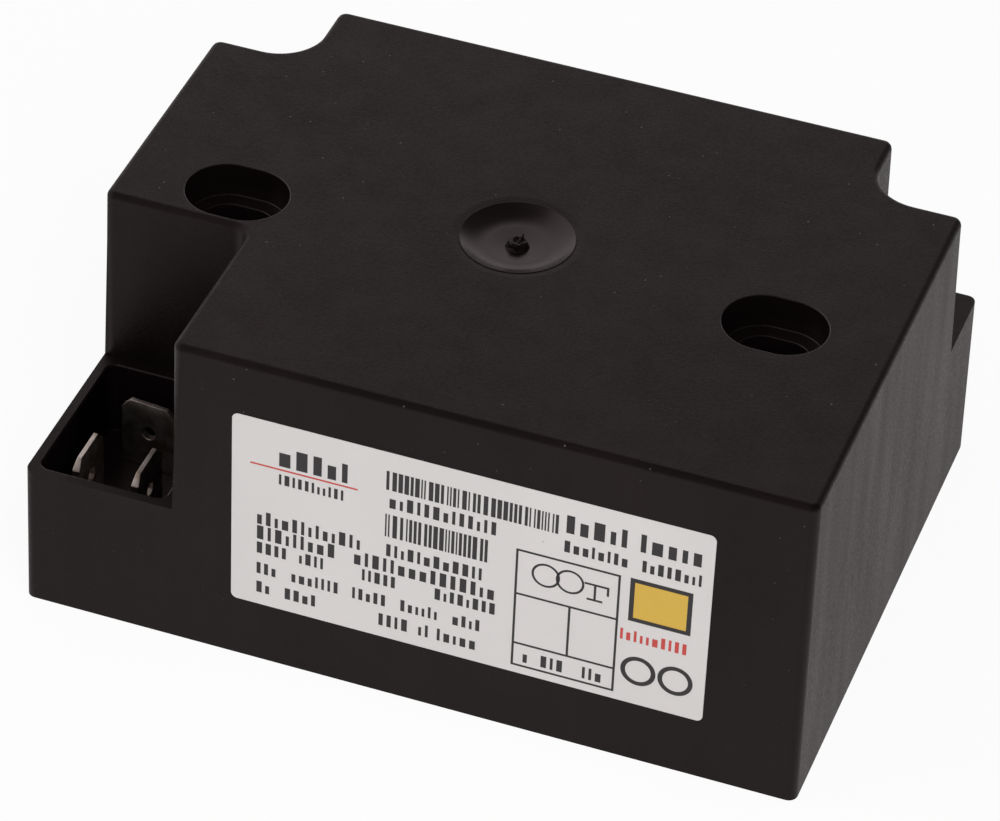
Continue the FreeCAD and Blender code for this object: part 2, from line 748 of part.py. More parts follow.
def make_blade(blade, turn):
    """Stamped blade terminal: tip, shoulders under the bay floor and two solder legs."""
    body = new_body(f"{blade}_terminal", blade_x(blade), blade_y(blade), "bay_floor", turn)
    if blade == "earth":
        tie(body, "Placement.Rotation.Angle", "-earth_blade_turn")
    half = "blade_width / 2"
    tip = "bay_rim - blade_recess - bay_floor"
    under = "-bay_floor_thickness"
    seat = "-bay_floor_thickness - shoulder_height"
    foot = "-bay_floor_thickness - shoulder_height - board_thickness - solder_length"
    right_side = [
        (f"{half} - blade_corner_across", tip),
        (half, f"{tip} - blade_corner_down"),
        (half, under),
        ("shoulder_width / 2", under),
        ("shoulder_width / 2", seat),
        ("(leg_spacing + leg_width) / 2", seat),
        ("(leg_spacing + leg_width) / 2", foot),
        ("(leg_spacing - leg_width) / 2", foot),
        ("(leg_spacing - leg_width) / 2", seat),
    ]
    left_side = [(f"-({across})", up) for across, up in reversed(right_side)]
    stamping = outline(new_sketch(body, f"{blade}_stamping", "XZ_Plane"), right_side + left_side)
    circle(stamping, "0", f"{tip} - blade_hole_drop", "blade_hole_radius")
    pad(body, stamping, "blade_thickness", both_ways=True)

    # The tip is thinned on both faces so that a receptacle slides on
    for side, sign in (("front", "-"), ("back", "")):
        bevel = new_sketch(body, f"{blade}_{side}_bevel", "YZ_Plane")
        outline(
            bevel,
            [
                (f"{sign}(blade_thickness / 2)", f"{tip} - blade_bevel_length"),
                (f"{sign}(blade_thickness / 2 - blade_bevel)", tip),
                (f"{sign}(blade_thickness / 2 - blade_bevel)", f"{tip} + blade_bevel_length"),
                (f"{sign}(blade_thickness / 2 + blade_bevel)", f"{tip} + blade_bevel_length"),
                (f"{sign}(blade_thickness / 2 + blade_bevel)", f"{tip} - blade_bevel_length"),
            ],
        )
        pocket(body, bevel, "2 * blade_width", both_ways=True)
    return body


def make_plug_pin(side, sign):
    """Turned plug pin with a collar under the well floor that takes the lead."""
    body = new_body(
        f"{side}_hv_pin", f"{sign} * pin_x", "pin_y", "well_floor", turn=0.0 if sign > 0 else 180.0
    )
    base = "-well_floor_thickness"
    profile = outline(
        new_sketch(body, f"{side}_pin_profile", "XZ_Plane"),
        [
            ("0", f"{base} - collar_height"),
            ("collar_radius", f"{base} - collar_height"),
            ("collar_radius", base),
            ("shank_radius", base),
            ("shank_radius", "0"),
            ("pin_radius", "0"),
            ("pin_radius", "pin_length - pin_tip_round"),
            ("pin_radius - pin_tip_round", "pin_length"),
            ("0", "pin_length"),
        ],
    )
    revolve(body, profile)
    # Lead hole from the side that faces the coils
    hole = new_sketch(body, f"{side}_lead_hole", "YZ_Plane", f"-collar_radius - {OVERCUT}")
    circle(hole, "0", f"{base} - collar_height / 2", "lead_radius")
    pocket(body, hole, f"lead_plug + {OVERCUT}", upwards=True)
    return body


# Core, bobbins and windings


def make_core_half(side, turn):
    """U-shaped ferrite half with its legs pointing at the middle plane."""
    body = new_body(f"{side}_core_half", "0", "core_y", "core_z", turn)
    outer = "core_pitch / 2 + core_leg / 2"
    inner = "core_pitch / 2 - core_leg / 2"
    profile = outline(
        new_sketch(body, f"{side}_core_profile"),
        [
            ("core_gap / 2", f"-({outer})"),
            ("core_length / 2", f"-({outer})"),
            ("core_length / 2", outer),
            ("core_gap / 2", outer),
            ("core_gap / 2", inner),
            ("core_window / 2", inner),
            ("core_window / 2", f"-({inner})"),
            ("core_gap / 2", f"-({inner})"),
        ],
    )
    half = pad(body, profile, "core_leg", both_ways=True)
    round_edges(
        body,
        half,
        f"{side}_core_corners",
        "core_corner",
        lambda edge: is_upright(edge) and near(edge.CenterOfMass.x, "core_length / 2", 0.01),
    )
    return body


def make_core_shims():
    """Two spacer squares, one in each leg of the core."""
    body = new_body("core_gap_shims", "0", "core_y", "core_z")
    shims = new_sketch(body, "shim_faces", "YZ_Plane")
    for sign in ("-", ""):
        leg_at(shims, f"{sign}(core_pitch / 2)", "0", "core_leg", "core_leg")
    pad(body, shims, "core_gap", both_ways=True)
    return body


def make_primary_bobbin():
    """Square tube on the front leg with two flanges that stand on the board."""
    body = new_body("primary_bobbin", "0", "primary_y", "core_z")
    tube = centred(new_sketch(body, "primary_tube", "YZ_Plane"), "bobbin_tube", "bobbin_tube")
    pad(body, tube, "core_window", both_ways=True)
    half = "primary_flange / 2"
    foot = "board_top - core_z"
    flange = outline(
        new_sketch(body, "primary_flange_profile", "YZ_Plane", "-core_window / 2"),
        [
            (f"-({half})", half),
            (f"-({half})", foot),
            ("-foot_arch_width / 2", foot),
            ("-foot_arch_width / 2", f"{foot} + foot_height"),
            ("foot_arch_width / 2", f"{foot} + foot_height"),
            ("foot_arch_width / 2", foot),
            (half, foot),
            (half, half),
        ],
    )
    flange_pad = pad(body, flange, "primary_flange_thickness")
    row_along_x(body, [flange_pad], "core_window - primary_flange_thickness")
    hole = centred(new_sketch(body, "primary_leg_hole", "YZ_Plane"), "core_leg", "core_leg")
    pocket(body, hole, "2 * core_window", both_ways=True)
    return body


def make_primary_winding():
    """Wire pack between the flanges of the primary bobbin."""
    body = new_body("primary_winding", "0", "primary_y", "core_z")
    turns = new_sketch(body, "primary_turns", "YZ_Plane")
    centred(turns, "primary_flange - 2 * winding_inset", "primary_flange - 2 * winding_inset")
    pack = pad(body, turns, "core_window - 2 * primary_flange_thickness", both_ways=True)
    rounded = round_edges(
        body, pack, "primary_turn_corners", "secondary_corner", lambda edge: abs(edge.tangentAt(0).x) > 0.99
    )
    body.Tip = rounded
    hole = centred(new_sketch(body, "primary_turns_hole", "YZ_Plane"), "bobbin_tube", "bobbin_tube")
    pocket(body, hole, "2 * core_window", both_ways=True)
    return body


def make_secondary_bobbin(side, sign):
    """Chambered bobbin: a square tube with a row of flanges."""
    body = new_body(f"{side}_secondary_bobbin", f"{sign} * secondary_x", "secondary_y", "core_z")
    tube = centred(new_sketch(body, f"{side}_tube", "YZ_Plane"), "bobbin_tube", "bobbin_tube")
    pad(body, tube, "secondary_length", both_ways=True)
    flange = new_sketch(body, f"{side}_flange", "YZ_Plane", "-secondary_length / 2")
    centred(flange, "secondary_flange", "secondary_flange")
    flange_pad = pad(body, flange, "secondary_flange_thickness")
    flanges = row_along_x(
        body, [flange_pad], "secondary_length - secondary_flange_thickness", "chamber_count + 1"
    )
    rim = number("secondary_flange / 2")
    corners = body.newObject("PartDesign::Chamfer", f"{side}_flange_corners")
    corners.Base = (
        flanges,
        edge_names(
            flanges,
            lambda edge: abs(abs(edge.CenterOfMass.y) - rim) < 0.01
            and abs(abs(edge.CenterOfMass.z) - rim) < 0.01,
        ),
    )
    tie(corners, "Size", "secondary_corner")
    body.Tip = corners
    doc.recompute()
    hole = centred(new_sketch(body, f"{side}_leg_hole", "YZ_Plane"), "core_leg", "core_leg")
    pocket(body, hole, "2 * secondary_length", both_ways=True)
    return body


def make_secondary_winding(side, sign):
    """One ring of fine wire in each chamber of a secondary bobbin."""
    body = new_body(f"{side}_secondary_winding", f"{sign} * secondary_x", "secondary_y", "core_z")
    start = "-secondary_length / 2 + secondary_flange_thickness"
    ring = new_sketch(body, f"{side}_ring", "YZ_Plane", start)
    centred(ring, "secondary_flange - 2 * winding_inset", "secondary_flange - 2 * winding_inset")
    centred(ring, "bobbin_tube", "bobbin_tube")
    ring_pad = pad(body, ring, "chamber_width")
    row_along_x(body, [ring_pad], "chamber_pitch * (chamber_count - 1)", "chamber_count")
    return body


# Leads inside the resin


def mitred_lead(points, radius):
    """Round lead along straight runs, with a mitred corner between each two."""
    path = Part.makePolygon(points)
    ring = Part.Wire(Part.Circle(points[0], points[1] - points[0], radius).toShape())
    right_corner = 1
    return path.makePipeShell([ring], True, False, right_corner)


def make_hv_lead(side, sign):
    """Lead from the outer end of a secondary to the collar of its plug pin."""
    lead = doc.addObject("Part::Feature", f"{side}_hv_lead")
    lead.Label = f"{side}_hv_lead"
    start_y = number("secondary_y + lead_rise")
    low = number("well_base - collar_height / 2")
    turn_x = number("(core_length / 2 + pin_x - well_radius - well_wall) / 2")
    plug = Vector(number("pin_x - collar_radius + lead_plug"), number("pin_y"), low)
    points = [
        Vector(number("core_window / 2"), start_y, number("core_z")),
        Vector(turn_x, start_y, number("core_z")),
        Vector(turn_x, plug.y, low),
        plug,
    ]
    points = [Vector(sign * point.x, point.y, point.z) for point in points]
    lead.Shape = mitred_lead(points, number("lead_radius"))
    lead.Placement = Placement()
    return lead


def make_earth_lead():
    """Bare wire from the earthed middle of the secondaries straight down through the board."""
    body = new_body("earth_lead", "0", "secondary_y", "board_base - solder_length")
    wire = new_sketch(body, "earth_wire")
    centred(wire, "earth_lead_width", "earth_lead_width")
    pad(body, wire, "core_z - secondary_flange / 2 - board_base + solder_length")
    return body


# Circuit board and the parts on it


def make_board_blank():
    """Laminate under the bay, the front row and the primary coil."""
    body = new_body("board_blank", "0", "0", "board_base")
    half = "length / 2 - wall - board_play"
    outline(
        new_sketch(body, "laminate"),
        [
            (f"-({half})", "inner_front + board_play"),
            (half, "inner_front + board_play"),
            (half, "board_back"),
            ("tongue_half", "board_back"),
            ("tongue_half", "tongue_back"),
            ("-tongue_half", "tongue_back"),
            ("-tongue_half", "board_back"),
            (f"-({half})", "board_back"),
        ],
    )
    pad(body, doc.getObject("laminate"), "board_thickness")
    return body


def add_wires(body, name, spots, top="0"):
    """Leads from a part down through the board."""
    wires = new_sketch(body, f"{name}_wires", "XY_Plane", "-board_thickness - solder_length")
    for across, back in spots:
        leg_at(wires, across, back, "wire_width", "wire_width")
    return pad(body, wires, f"board_thickness + solder_length + {top}")


def make_film_capacitor(name, across, long_side, deep_side, tall_side, pitch):
    """Boxed film capacitor that stands on the board."""
    body = new_body(name, across, f"row_front + {deep_side} / 2", "board_top")
    case = pad(body, centred(new_sketch(body, f"{name}_case"), long_side, deep_side), tall_side)
    body.Tip = round_edges(body, case, f"{name}_edges", "capacitor_edge", is_upright)
    add_wires(body, name, [(f"-{pitch} / 2", "0"), (f"{pitch} / 2", "0")])
    return body


def make_varistor():
    """Disc varistor on edge with two leads."""
    body = new_body("varistor", "varistor_x", "row_front + varistor_radius", "board_top")
    disc = new_sketch(body, "varistor_disc", "YZ_Plane")
    circle(disc, "0", "varistor_stand + varistor_radius", "varistor_radius")
    pad(body, disc, "varistor_thickness", both_ways=True)
    add_wires(
        body,
        "varistor",
        [("0", "-varistor_pitch / 2"), ("0", "varistor_pitch / 2")],
        "varistor_stand + varistor_radius",
    )
    return body


def make_fuse_resistor():
    """Wire-wound resistor standing on end, with its top lead bent back to the board."""
    body = new_body("fuse_resistor", "resistor_x", "resistor_y", "board_top")
    core = new_sketch(body, "resistor_body", "XY_Plane", "resistor_stand")
    pad(body, circle(core, "0", "0", "resistor_radius"), "resistor_height")
    add_wires(body, "resistor", [("0", "0")], "resistor_stand + resistor_height / 2")
    # Return lead: a half turn over the top and a straight run down beside the body
    crown = new_sketch(body, "resistor_crown", "XY_Plane", "resistor_stand + resistor_height")
    tie(crown, ".AttachmentOffset.Base.x", "resistor_pitch / 2")
    revolve(body, leg_at(crown, "-resistor_pitch / 2", "0", "wire_width", "wire_width"), turn=180)
    add_wires(body, "resistor_return", [("resistor_pitch", "0")], "resistor_stand + resistor_height")
    return body


def make_rectifier():
    """Flat bridge rectifier with four legs, under the primary coil."""
    body = new_body("bridge_rectifier", "0", "primary_y", "board_top")
    case = centred(new_sketch(body, "rectifier_case"), "rectifier_length", "rectifier_depth")
    pad(body, case, "rectifier_height")
    legs = new_sketch(body, "rectifier_legs", "XY_Plane", "-board_thickness - solder_length")
    for across in ("-rectifier_pitch / 2", "rectifier_pitch / 2"):
        for back in ("-rectifier_depth / 2", "rectifier_depth / 2"):
            leg_at(legs, across, back, "flat_leg_width", "flat_leg_thickness")
    pad(body, legs, "board_thickness + solder_length + rectifier_height / 2")
    return body


def make_transistor():
    """Switching transistor that stands on its three legs, with a holed metal tab."""
    body = new_body("switching_transistor", "transistor_x", "transistor_y", "board_top")
    case = new_sketch(body, "transistor_case", "XY_Plane", "transistor_stand")
    pad(body, centred(case, "transistor_width", "transistor_depth"), "transistor_body")
    tab = new_sketch(body, "transistor_tab", "XZ_Plane", "-transistor_depth / 2")
    rectangle(
        tab,
        "-transistor_width / 2",
        "transistor_width / 2",
        "transistor_stand",
        "transistor_stand + transistor_body + transistor_tab_height",
    )
    hole_height = "transistor_stand + transistor_body + transistor_tab_height / 2"
    circle(tab, "0", hole_height, "transistor_hole_radius")
    pad(body, tab, "transistor_tab_thickness")
    legs = new_sketch(body, "transistor_legs", "XY_Plane", "-board_thickness - solder_length")
    for across in ("-transistor_pitch", "0", "transistor_pitch"):
        leg_at(legs, across, "0", "flat_leg_width", "flat_leg_thickness")
    pad(body, legs, "board_thickness + solder_length + transistor_stand + transistor_body / 2")
    return body


def make_resin(cavity, embedded):
    """Potting resin: the hollow above its recess, less all that it holds."""
    recess = doc.addObject("Part::Box", "resin_recess_box")
    tie(recess, "Length", "2 * length")
    tie(recess, "Width", "2 * width")
    tie(recess, "Height", "resin_recess + length")
    for field, place in (("x", "-length"), ("y", "-width"), ("z", "-length")):
        tie(recess, f"Placement.Base.{field}", place)
    fill = cut("resin_fill", cavity, recess)
    return cut("potting_resin", fill, fuse("embedded_pieces", embedded), refine=False)


def make_parts():
    """All pieces of the transformer, as document objects whose Label is the node name."""
    fill_sheet()
    cavity = make_cavity_form()
    housing = cut("housing", make_outer_form(), cavity)
    label = make_label()
    blades = [make_blade("line", 90.0), make_blade("neutral", 90.0), make_blade("earth", 0.0)]
    sides = (("left", -1), ("right", 1))
    pins = [make_plug_pin(side, sign) for side, sign in sides]
    cores = [make_core_half("left", 180.0), make_core_half("right", 0.0)]
    coils = [make_core_shims(), make_primary_bobbin(), make_primary_winding()]
    for side, sign in sides:
        coils += [make_secondary_bobbin(side, sign), make_secondary_winding(side, sign)]
    leads = [make_hv_lead(side, sign) for side, sign in sides]
    earth_lead = make_earth_lead()
    board_parts = [
        make_film_capacitor(
            "bulk_capacitor", "bulk_x", "bulk_length", "row_depth", "bulk_height", "bulk_pitch"
        ),
        make_film_capacitor(
            "resonance_capacitor",
            "resonance_x",
            "resonance_length",
            "resonance_depth",
            "resonance_height",
            "resonance_pitch",
        ),
        make_varistor(),
        make_fuse_resistor(),
        make_rectifier(),
        make_transistor(),
    ]
    through_board = blades + board_parts + [earth_lead]
    board = cut("circuit_board", make_board_blank(), fuse("soldered_leads", through_board))
    embedded = blades + pins + cores + coils + leads + [earth_lead] + board_parts + [board]
    resin = make_resin(cavity, embedded)
    return [housing, resin, label] + embedded


def check(parts):
    """Stop if anything failed to build."""
    doc.recompute()
    for item in doc.Objects:
        if "Invalid" in item.State or "Error" in item.State:
            raise RuntimeError(f"{item.Label} is {item.State}")
    for part in parts:
        if part.Shape.isNull() or not part.Shape.isValid():
            raise RuntimeError(f"{part.Label} has no valid shape")


parts = make_parts()
check(parts)
os.makedirs("parts", exist_ok=True)
for part in parts:
    part.Shape.exportStep(os.path.join("parts", part.Label + ".step"))
    print(f"{part.Label:24s} {len(part.Shape.Solids)} solids {part.Shape.Volume / 1000:9.3f} cm3")
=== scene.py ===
import json
import math
import random

import bmesh
import bpy
from bpy.props import FloatProperty, FloatVectorProperty, IntProperty, PointerProperty
from mathutils import Matrix, Vector


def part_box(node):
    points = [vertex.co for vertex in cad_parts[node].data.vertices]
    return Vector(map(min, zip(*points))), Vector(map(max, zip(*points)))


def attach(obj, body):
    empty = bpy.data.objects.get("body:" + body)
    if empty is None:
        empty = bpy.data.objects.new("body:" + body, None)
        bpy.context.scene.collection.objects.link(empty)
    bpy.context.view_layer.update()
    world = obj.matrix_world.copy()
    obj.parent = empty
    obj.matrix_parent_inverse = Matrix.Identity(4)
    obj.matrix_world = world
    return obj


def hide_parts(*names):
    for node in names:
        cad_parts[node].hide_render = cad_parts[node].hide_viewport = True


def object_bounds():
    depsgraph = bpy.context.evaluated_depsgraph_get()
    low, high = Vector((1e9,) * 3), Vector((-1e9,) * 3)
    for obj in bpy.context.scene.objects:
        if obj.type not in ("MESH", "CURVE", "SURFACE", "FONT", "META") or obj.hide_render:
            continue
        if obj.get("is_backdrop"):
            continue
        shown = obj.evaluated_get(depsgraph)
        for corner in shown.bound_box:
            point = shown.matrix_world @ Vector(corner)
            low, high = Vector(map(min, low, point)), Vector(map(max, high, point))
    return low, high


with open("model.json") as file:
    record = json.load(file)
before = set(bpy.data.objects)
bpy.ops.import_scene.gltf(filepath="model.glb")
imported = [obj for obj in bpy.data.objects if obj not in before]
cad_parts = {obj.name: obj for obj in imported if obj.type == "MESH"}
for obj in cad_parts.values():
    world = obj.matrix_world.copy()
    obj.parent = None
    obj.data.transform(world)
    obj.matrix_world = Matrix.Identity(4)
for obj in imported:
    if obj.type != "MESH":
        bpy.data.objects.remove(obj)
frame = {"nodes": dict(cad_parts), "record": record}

bl_info = {
    "name": "Ignition Transformer Looks",
    "version": (1, 0, 0),
    "blender": (4, 5, 0),
    "location": "3D View > Sidebar > Transformer",
    "description": "Moulded case, label, terminals and studio of a potted ignition transformer",
    "category": "Object",
}

MM = 0.001
DEGREE = math.radians(1)
# How close a vertex has to lie to a wall or level to count as on it
CLOSE = 0.02 * MM
# The solids bring plain materials under the bare names of the slots
FINISH_NAME = "{}_finish"
# Cutters run this far past the faces that they open
OVERCUT = 3 * MM

# Steps in the small roundings at the mouth and the foot of a recess
ARC_STEPS = 3
# Share of an edge's or a normal's length that lies along Z where it counts as upright
UPRIGHT = 0.9

CASE_LOW, CASE_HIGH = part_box("housing")
BLADES = {
    "line_blade": ("line_terminal", 90.0),
    "neutral_blade": ("neutral_terminal", 90.0),
    "earth_blade": ("earth_terminal", -5.4),
}
PINS = {"left_plug_pin": "left_hv_pin", "right_plug_pin": "right_hv_pin"}

# Lamps and camera, in metres, and the camera's sensor in millimetres
LAMP_TARGET = (0, 0, 0.02)
LAMP_SIDE = 0.6
KEY_PLACE = (0.30, -0.55, 0.75)
FILL_PLACE = (-0.7, -0.25, 0.5)
CLIP_START, CLIP_END = 0.01, 20
SENSOR_WIDTH = 36
# The floor lies this far under the mounting plane
FLOOR_DROP = 0.02 * MM
FLOOR_COLOUR = (0.86, 0.86, 0.86, 1)


def size(name, default, description, subtype="DISTANCE"):
    """Length property in metres."""
    return FloatProperty(
        name=name, default=default, description=description, unit="LENGTH", subtype=subtype, precision=5
    )


def turn(name, default, description):
    """Angle property."""
    return FloatProperty(name=name, default=default, description=description, unit="ROTATION")


def level(name, default, description):
    """Property without a unit."""
    return FloatProperty(name=name, default=default, description=description, min=0)


def tone(name, default, description):
    """Colour property."""
    return FloatVectorProperty(
        name=name, default=default, description=description, subtype="COLOR", size=3, min=0.0, max=1.0
    )


def share(name, default, description):
    """Property from 0 to 1."""
    return FloatProperty(name=name, default=default, description=description, subtype="FACTOR", min=0, max=1)


class CaseSizes(bpy.types.PropertyGroup):
    """Sizes of the moulded case"""

    length: size("Length", CASE_HIGH.x - CASE_LOW.x, "Footprint along the label face")
    width: size("Width", CASE_HIGH.y - CASE_LOW.y, "Footprint from the label face to the back")
    height: size("Height", CASE_HIGH.z, "Mounting plane to the roof")
    lean: turn("Lean", 0.65 * DEGREE, "Draft of the walls")
    wall: size("Wall", 2.0 * MM, "Side wall thickness")
    roof: size("Roof", 2.4 * MM, "Roof thickness")
    corner_round: size("Corner round", 1.0 * MM, "Radius of the upright outer corners")
    roof_round: size("Roof round", 0.7 * MM, "Radius round the roof")
    edge_round: size("Edge round", 0.2 * MM, "Small radius on the rims of recesses")
    bay_length: size("Bay length", 16.5 * MM, "Blade bay along X")
    bay_depth: size("Bay depth", 21.0 * MM, "Blade bay along Y")
    bay_rim: size("Bay rim", 16.8 * MM, "Height of the bay rim")
    bay_floor: size("Bay floor", 8.0 * MM, "Height of the bay floor")
    bay_floor_thickness: size("Bay floor thickness", 1.5 * MM, "Thickness of the bay floor")
    bay_lip: size("Bay lip", 1.35 * MM, "Wall left round the bay pocket")
    bay_corner: size("Bay corner", 1.0 * MM, "Radius in the corners of the bay pocket")
    bay_round: size("Bay round", 1.8 * MM, "Radius where the two bay walls meet")
    step_length: size("Step length", 10.45 * MM, "Back steps along X")
    step_depth: size("Step depth", 10.1 * MM, "Back steps along Y")
    step_height: size("Step height", 20.0 * MM, "Height of the back steps")
    step_round: size("Step round", 5.1 * MM, "Radius where the two step walls meet")
    well_radius: size("Well radius", 3.5 * MM, "Bore round a plug pin")
    well_floor: size("Well floor", 7.5 * MM, "Height of the well floor")
    well_floor_thickness: size("Well floor thickness", 2.0 * MM, "Floor that the pin is pressed into")
    well_wall: size("Well wall", 1.5 * MM, "Tube wall round the well")
    slot_from_end: size("Slot from end", 13.0 * MM, "Screw slot centre to the end of the footprint")
    slot_from_front: size("Slot from front", 26.3 * MM, "Screw slot centre to the label face")
    slot_width: size("Slot width", 5.5 * MM, "Through slot across")
    slot_length: size("Slot length", 7.6 * MM, "Through slot end to end")
    recess_width: size("Recess width", 8.85 * MM, "Screw head recess across")
    recess_length: size("Recess length", 10.9 * MM, "Screw head recess end to end")
    recess_depth: size("Recess depth", 3.9 * MM, "Screw head recess below the roof")
    boss_wall: size("Boss wall", 1.8 * MM, "Wall round the slots")
    dish_off_centre: size("Dish off centre", 0.25 * MM, "Gate dish to the middle of the length")
    dish_from_front: size("Dish from front", 30.1 * MM, "Gate dish to the label face")
    dish_radius: size("Dish radius", 5.93 * MM, "Rim of the gate dish")
    dish_ring_radius: size("Dish ring radius", 3.0 * MM, "Crease where the bowl turns shallow")
    dish_ring_depth: size("Dish ring depth", 1.0 * MM, "Depth at the crease")
    dish_curve: level("Dish curve", 2.2, "How late the bowl steepens")
    dish_depth: size("Dish depth", 1.25 * MM, "Depth beside the sprue nub")
    dish_lip: size("Dish lip", 0.14 * MM, "Width of the fine ridge left round the rim")
    dish_dip: size("Dish dip", 0.06 * MM, "How far the roof dips outside the ridge")
    dish_reach: size("Dish reach", 0.9 * MM, "Width of that dip")
    nub_radius: size("Nub radius", 1.2 * MM, "Broken sprue nub")
    nub_height: size("Nub height", 0.8 * MM, "Broken sprue nub above the dish")
    thread_length: size("Thread length", 0.75 * MM, "Plastic thread pulled out of the sprue")
    thread_radius: size("Thread radius", 0.12 * MM, "Half the thickness of that thread")


class LabelSizes(bpy.types.PropertyGroup):
    """Sizes of the stuck-on label and its print"""

    length: size("Length", 50.7 * MM, "Label along X")
    height: size("Height", 24.0 * MM, "Label up the wall")
    thickness: size("Thickness", 0.1 * MM, "Film thickness")
    corner: size("Corner", 0.7 * MM, "Label corner radius")
    from_left: size("From left", 23.05 * MM, "Label to the left end of the footprint")
    from_base: size("From base", 7.4 * MM, "Label to the mounting plane")
    ink: size("Ink", 0.015 * MM, "Ink above the film")
    stroke: size("Stroke", 0.25 * MM, "Width of the printed lines")
    bold_stroke: size("Bold stroke", 0.5 * MM, "Width of the bold lines")
    seed: IntProperty(name="Seed", default=7, description="Draw of the blocks that stand for print")


class TerminalSizes(bpy.types.PropertyGroup):
    """Sizes of the blade terminals and plug pins"""

    blade_width: size("Blade width", 6.3 * MM, "Blade across")
    blade_thickness: size("Blade thickness", 0.8 * MM, "Sheet thickness")
    corner_across: size("Corner across", 1.0 * MM, "Tip corner cut, across")
    corner_down: size("Corner down", 1.1 * MM, "Tip corner cut, along")
    bevel: size("Tip bevel", 0.15 * MM, "Tip bevel on each face")
    bevel_length: size("Bevel length", 0.9 * MM, "Length of the tip bevel")
    hole_radius: size("Hole radius", 0.8 * MM, "Detent hole")
    hole_drop: size("Hole drop", 3.66 * MM, "Detent hole below the tip")
    shoulder_width: size("Shoulder width", 7.5 * MM, "Shoulder under the bay floor")
    shoulder_height: size("Shoulder height", 1.7 * MM, "Shoulder along the blade")
    leg_width: size("Leg width", 1.2 * MM, "Solder leg across")
    leg_spacing: size("Leg spacing", 4.4 * MM, "Between the two solder legs")
    play: size("Play", 0.1 * MM, "Room round a blade in the bay floor")
    burr_round: size("Burr round", 0.05 * MM, "Rounding of the stamped edges")
    pin_radius: size("Pin radius", 2.0 * MM, "Plug pin")
    shank_radius: size("Shank radius", 2.4 * MM, "Pin shank in the well floor")
    collar_radius: size("Collar radius", 3.0 * MM, "Collar under the well floor")
    collar_height: size("Collar height", 2.4 * MM, "Collar along the pin")
    pin_tip: size("Pin tip", 0.6 * MM, "Rounding of the pin tip")
    lead_radius: size("Lead radius", 0.9 * MM, "Lead hole in the collar")
    lead_plug: size("Lead plug", 1.5 * MM, "Depth of the lead hole")


class FinishColours(bpy.types.PropertyGroup):
    """Colours of the visible finishes"""

    case: tone("Case", (0.0026, 0.0014, 0.0015), "Moulded black plastic")
    case_worn: tone("Case drift", (0.0050, 0.0029, 0.0030), "Lighter patches of the moulding")
    case_sheen: tone("Case sheen", (1.0, 0.86, 0.87), "Tint of the reflections of the case")
    speck: tone("Speck", (0.07, 0.062, 0.060), "Dust specks on the case")
    resin: tone("Resin", (0.016, 0.015, 0.014), "Potting resin")
    film: tone("Film", (0.72, 0.69, 0.68), "Label film")
    ink_dark: tone("Dark ink", (0.020, 0.018, 0.019), "Dark print")
    ink_red: tone("Red ink", (0.50, 0.055, 0.045), "Red print")
    ink_yellow: tone("Yellow ink", (0.60, 0.38, 0.055), "Yellow print")
    tin: tone("Tin", (0.66, 0.62, 0.585), "Tinned brass blades")
    brass: tone("Brass", (0.60, 0.44, 0.20), "Plug pins")
    case_roughness: share("Case roughness", 0.46, "Roughness of the moulding")
    case_gloss: share("Case gloss", 0.22, "Specular level of the moulding")
    core_roughness: share("Core roughness", 0.30, "Roughness inside the recesses")
    core_gloss: share("Core gloss", 0.46, "Specular level inside the recesses")
    tin_roughness: share("Tin roughness", 0.42, "Roughness of the tin plate")


class StudioSettings(bpy.types.PropertyGroup):
    """Camera, floor and lamps"""

    camera_azimuth: turn("Azimuth", 18.344 * DEGREE, "Camera round the object")
    camera_elevation: turn("Elevation", 39.002 * DEGREE, "Camera above the horizon")
    camera_roll: turn("Roll", 2.480 * DEGREE, "Camera turned about its view")
    camera_place: FloatVectorProperty(
        name="Camera place",
        default=(131.06 * MM, -398.48 * MM, 354.23 * MM),
        description="Camera in the row frame",
        subtype="TRANSLATION",
        size=3,
    )
    camera_lens: level("Lens", 185.4, "Focal length, millimetres")
    floor_size: size("Floor", 6.0, "Side of the floor")
    floor_glow: share("Floor glow", 0.92, "Share of the floor's white that no shadow darkens")
    mirror_glow: share("Mirror glow", 0.6, "The same share where the floor is mirrored")
    sky: level("Sky", 0.28, "Level of the surroundings")
    shade: share("Shade", 0.10, "Mirrored level of the shade side")
    shade_side: FloatVectorProperty(
        name="Shade side",
        default=(0.80, -0.35, 0.50),
        description="Where the mirrored surroundings are darkest",
        subtype="DIRECTION",
        size=3,
    )
    shade_start: turn("Shade start", 95.0 * DEGREE, "Turn from the shade side where the white fades")
    shade_end: turn("Shade end", 78.0 * DEGREE, "Turn from the shade side where the white is gone")
    box: share("Soft box", 0.55, "Mirrored level of the soft box in the shade")
    box_side: FloatVectorProperty(
        name="Soft box side",
        default=(-0.24, -0.62, 0.75),
        description="Where the mirrored soft box stands",
        subtype="DIRECTION",
        size=3,
    )
    box_start: turn("Soft box start", 28.0 * DEGREE, "Turn from its middle where the box begins")
    box_end: turn("Soft box end", 12.0 * DEGREE, "Turn from its middle where the box is full")
    mirror_tint: tone("Mirror tint", (0.90, 0.82, 0.82), "Colour that the white has in a mirror")
    key_power: level("Key", 6.0, "Watts of the large lamp")
    fill_power: level("Fill", 2.0, "Watts of the fill lamp")


# Helpers for objects and selections


def select_only(piece):
    """Make one object the selected and active one."""
    bpy.ops.object.select_all(action="DESELECT")
    piece.select_set(True)
    bpy.context.view_layer.objects.active = piece


def edit(piece):
    """Edit mode on one object."""
    select_only(piece)
    bpy.ops.object.mode_set(mode="EDIT")


def leave_edit():
    """Back to object mode with the faces pointing outwards."""
    bpy.ops.mesh.select_all(action="SELECT")
    bpy.ops.mesh.normals_make_consistent(inside=False)
    bpy.ops.object.mode_set(mode="OBJECT")


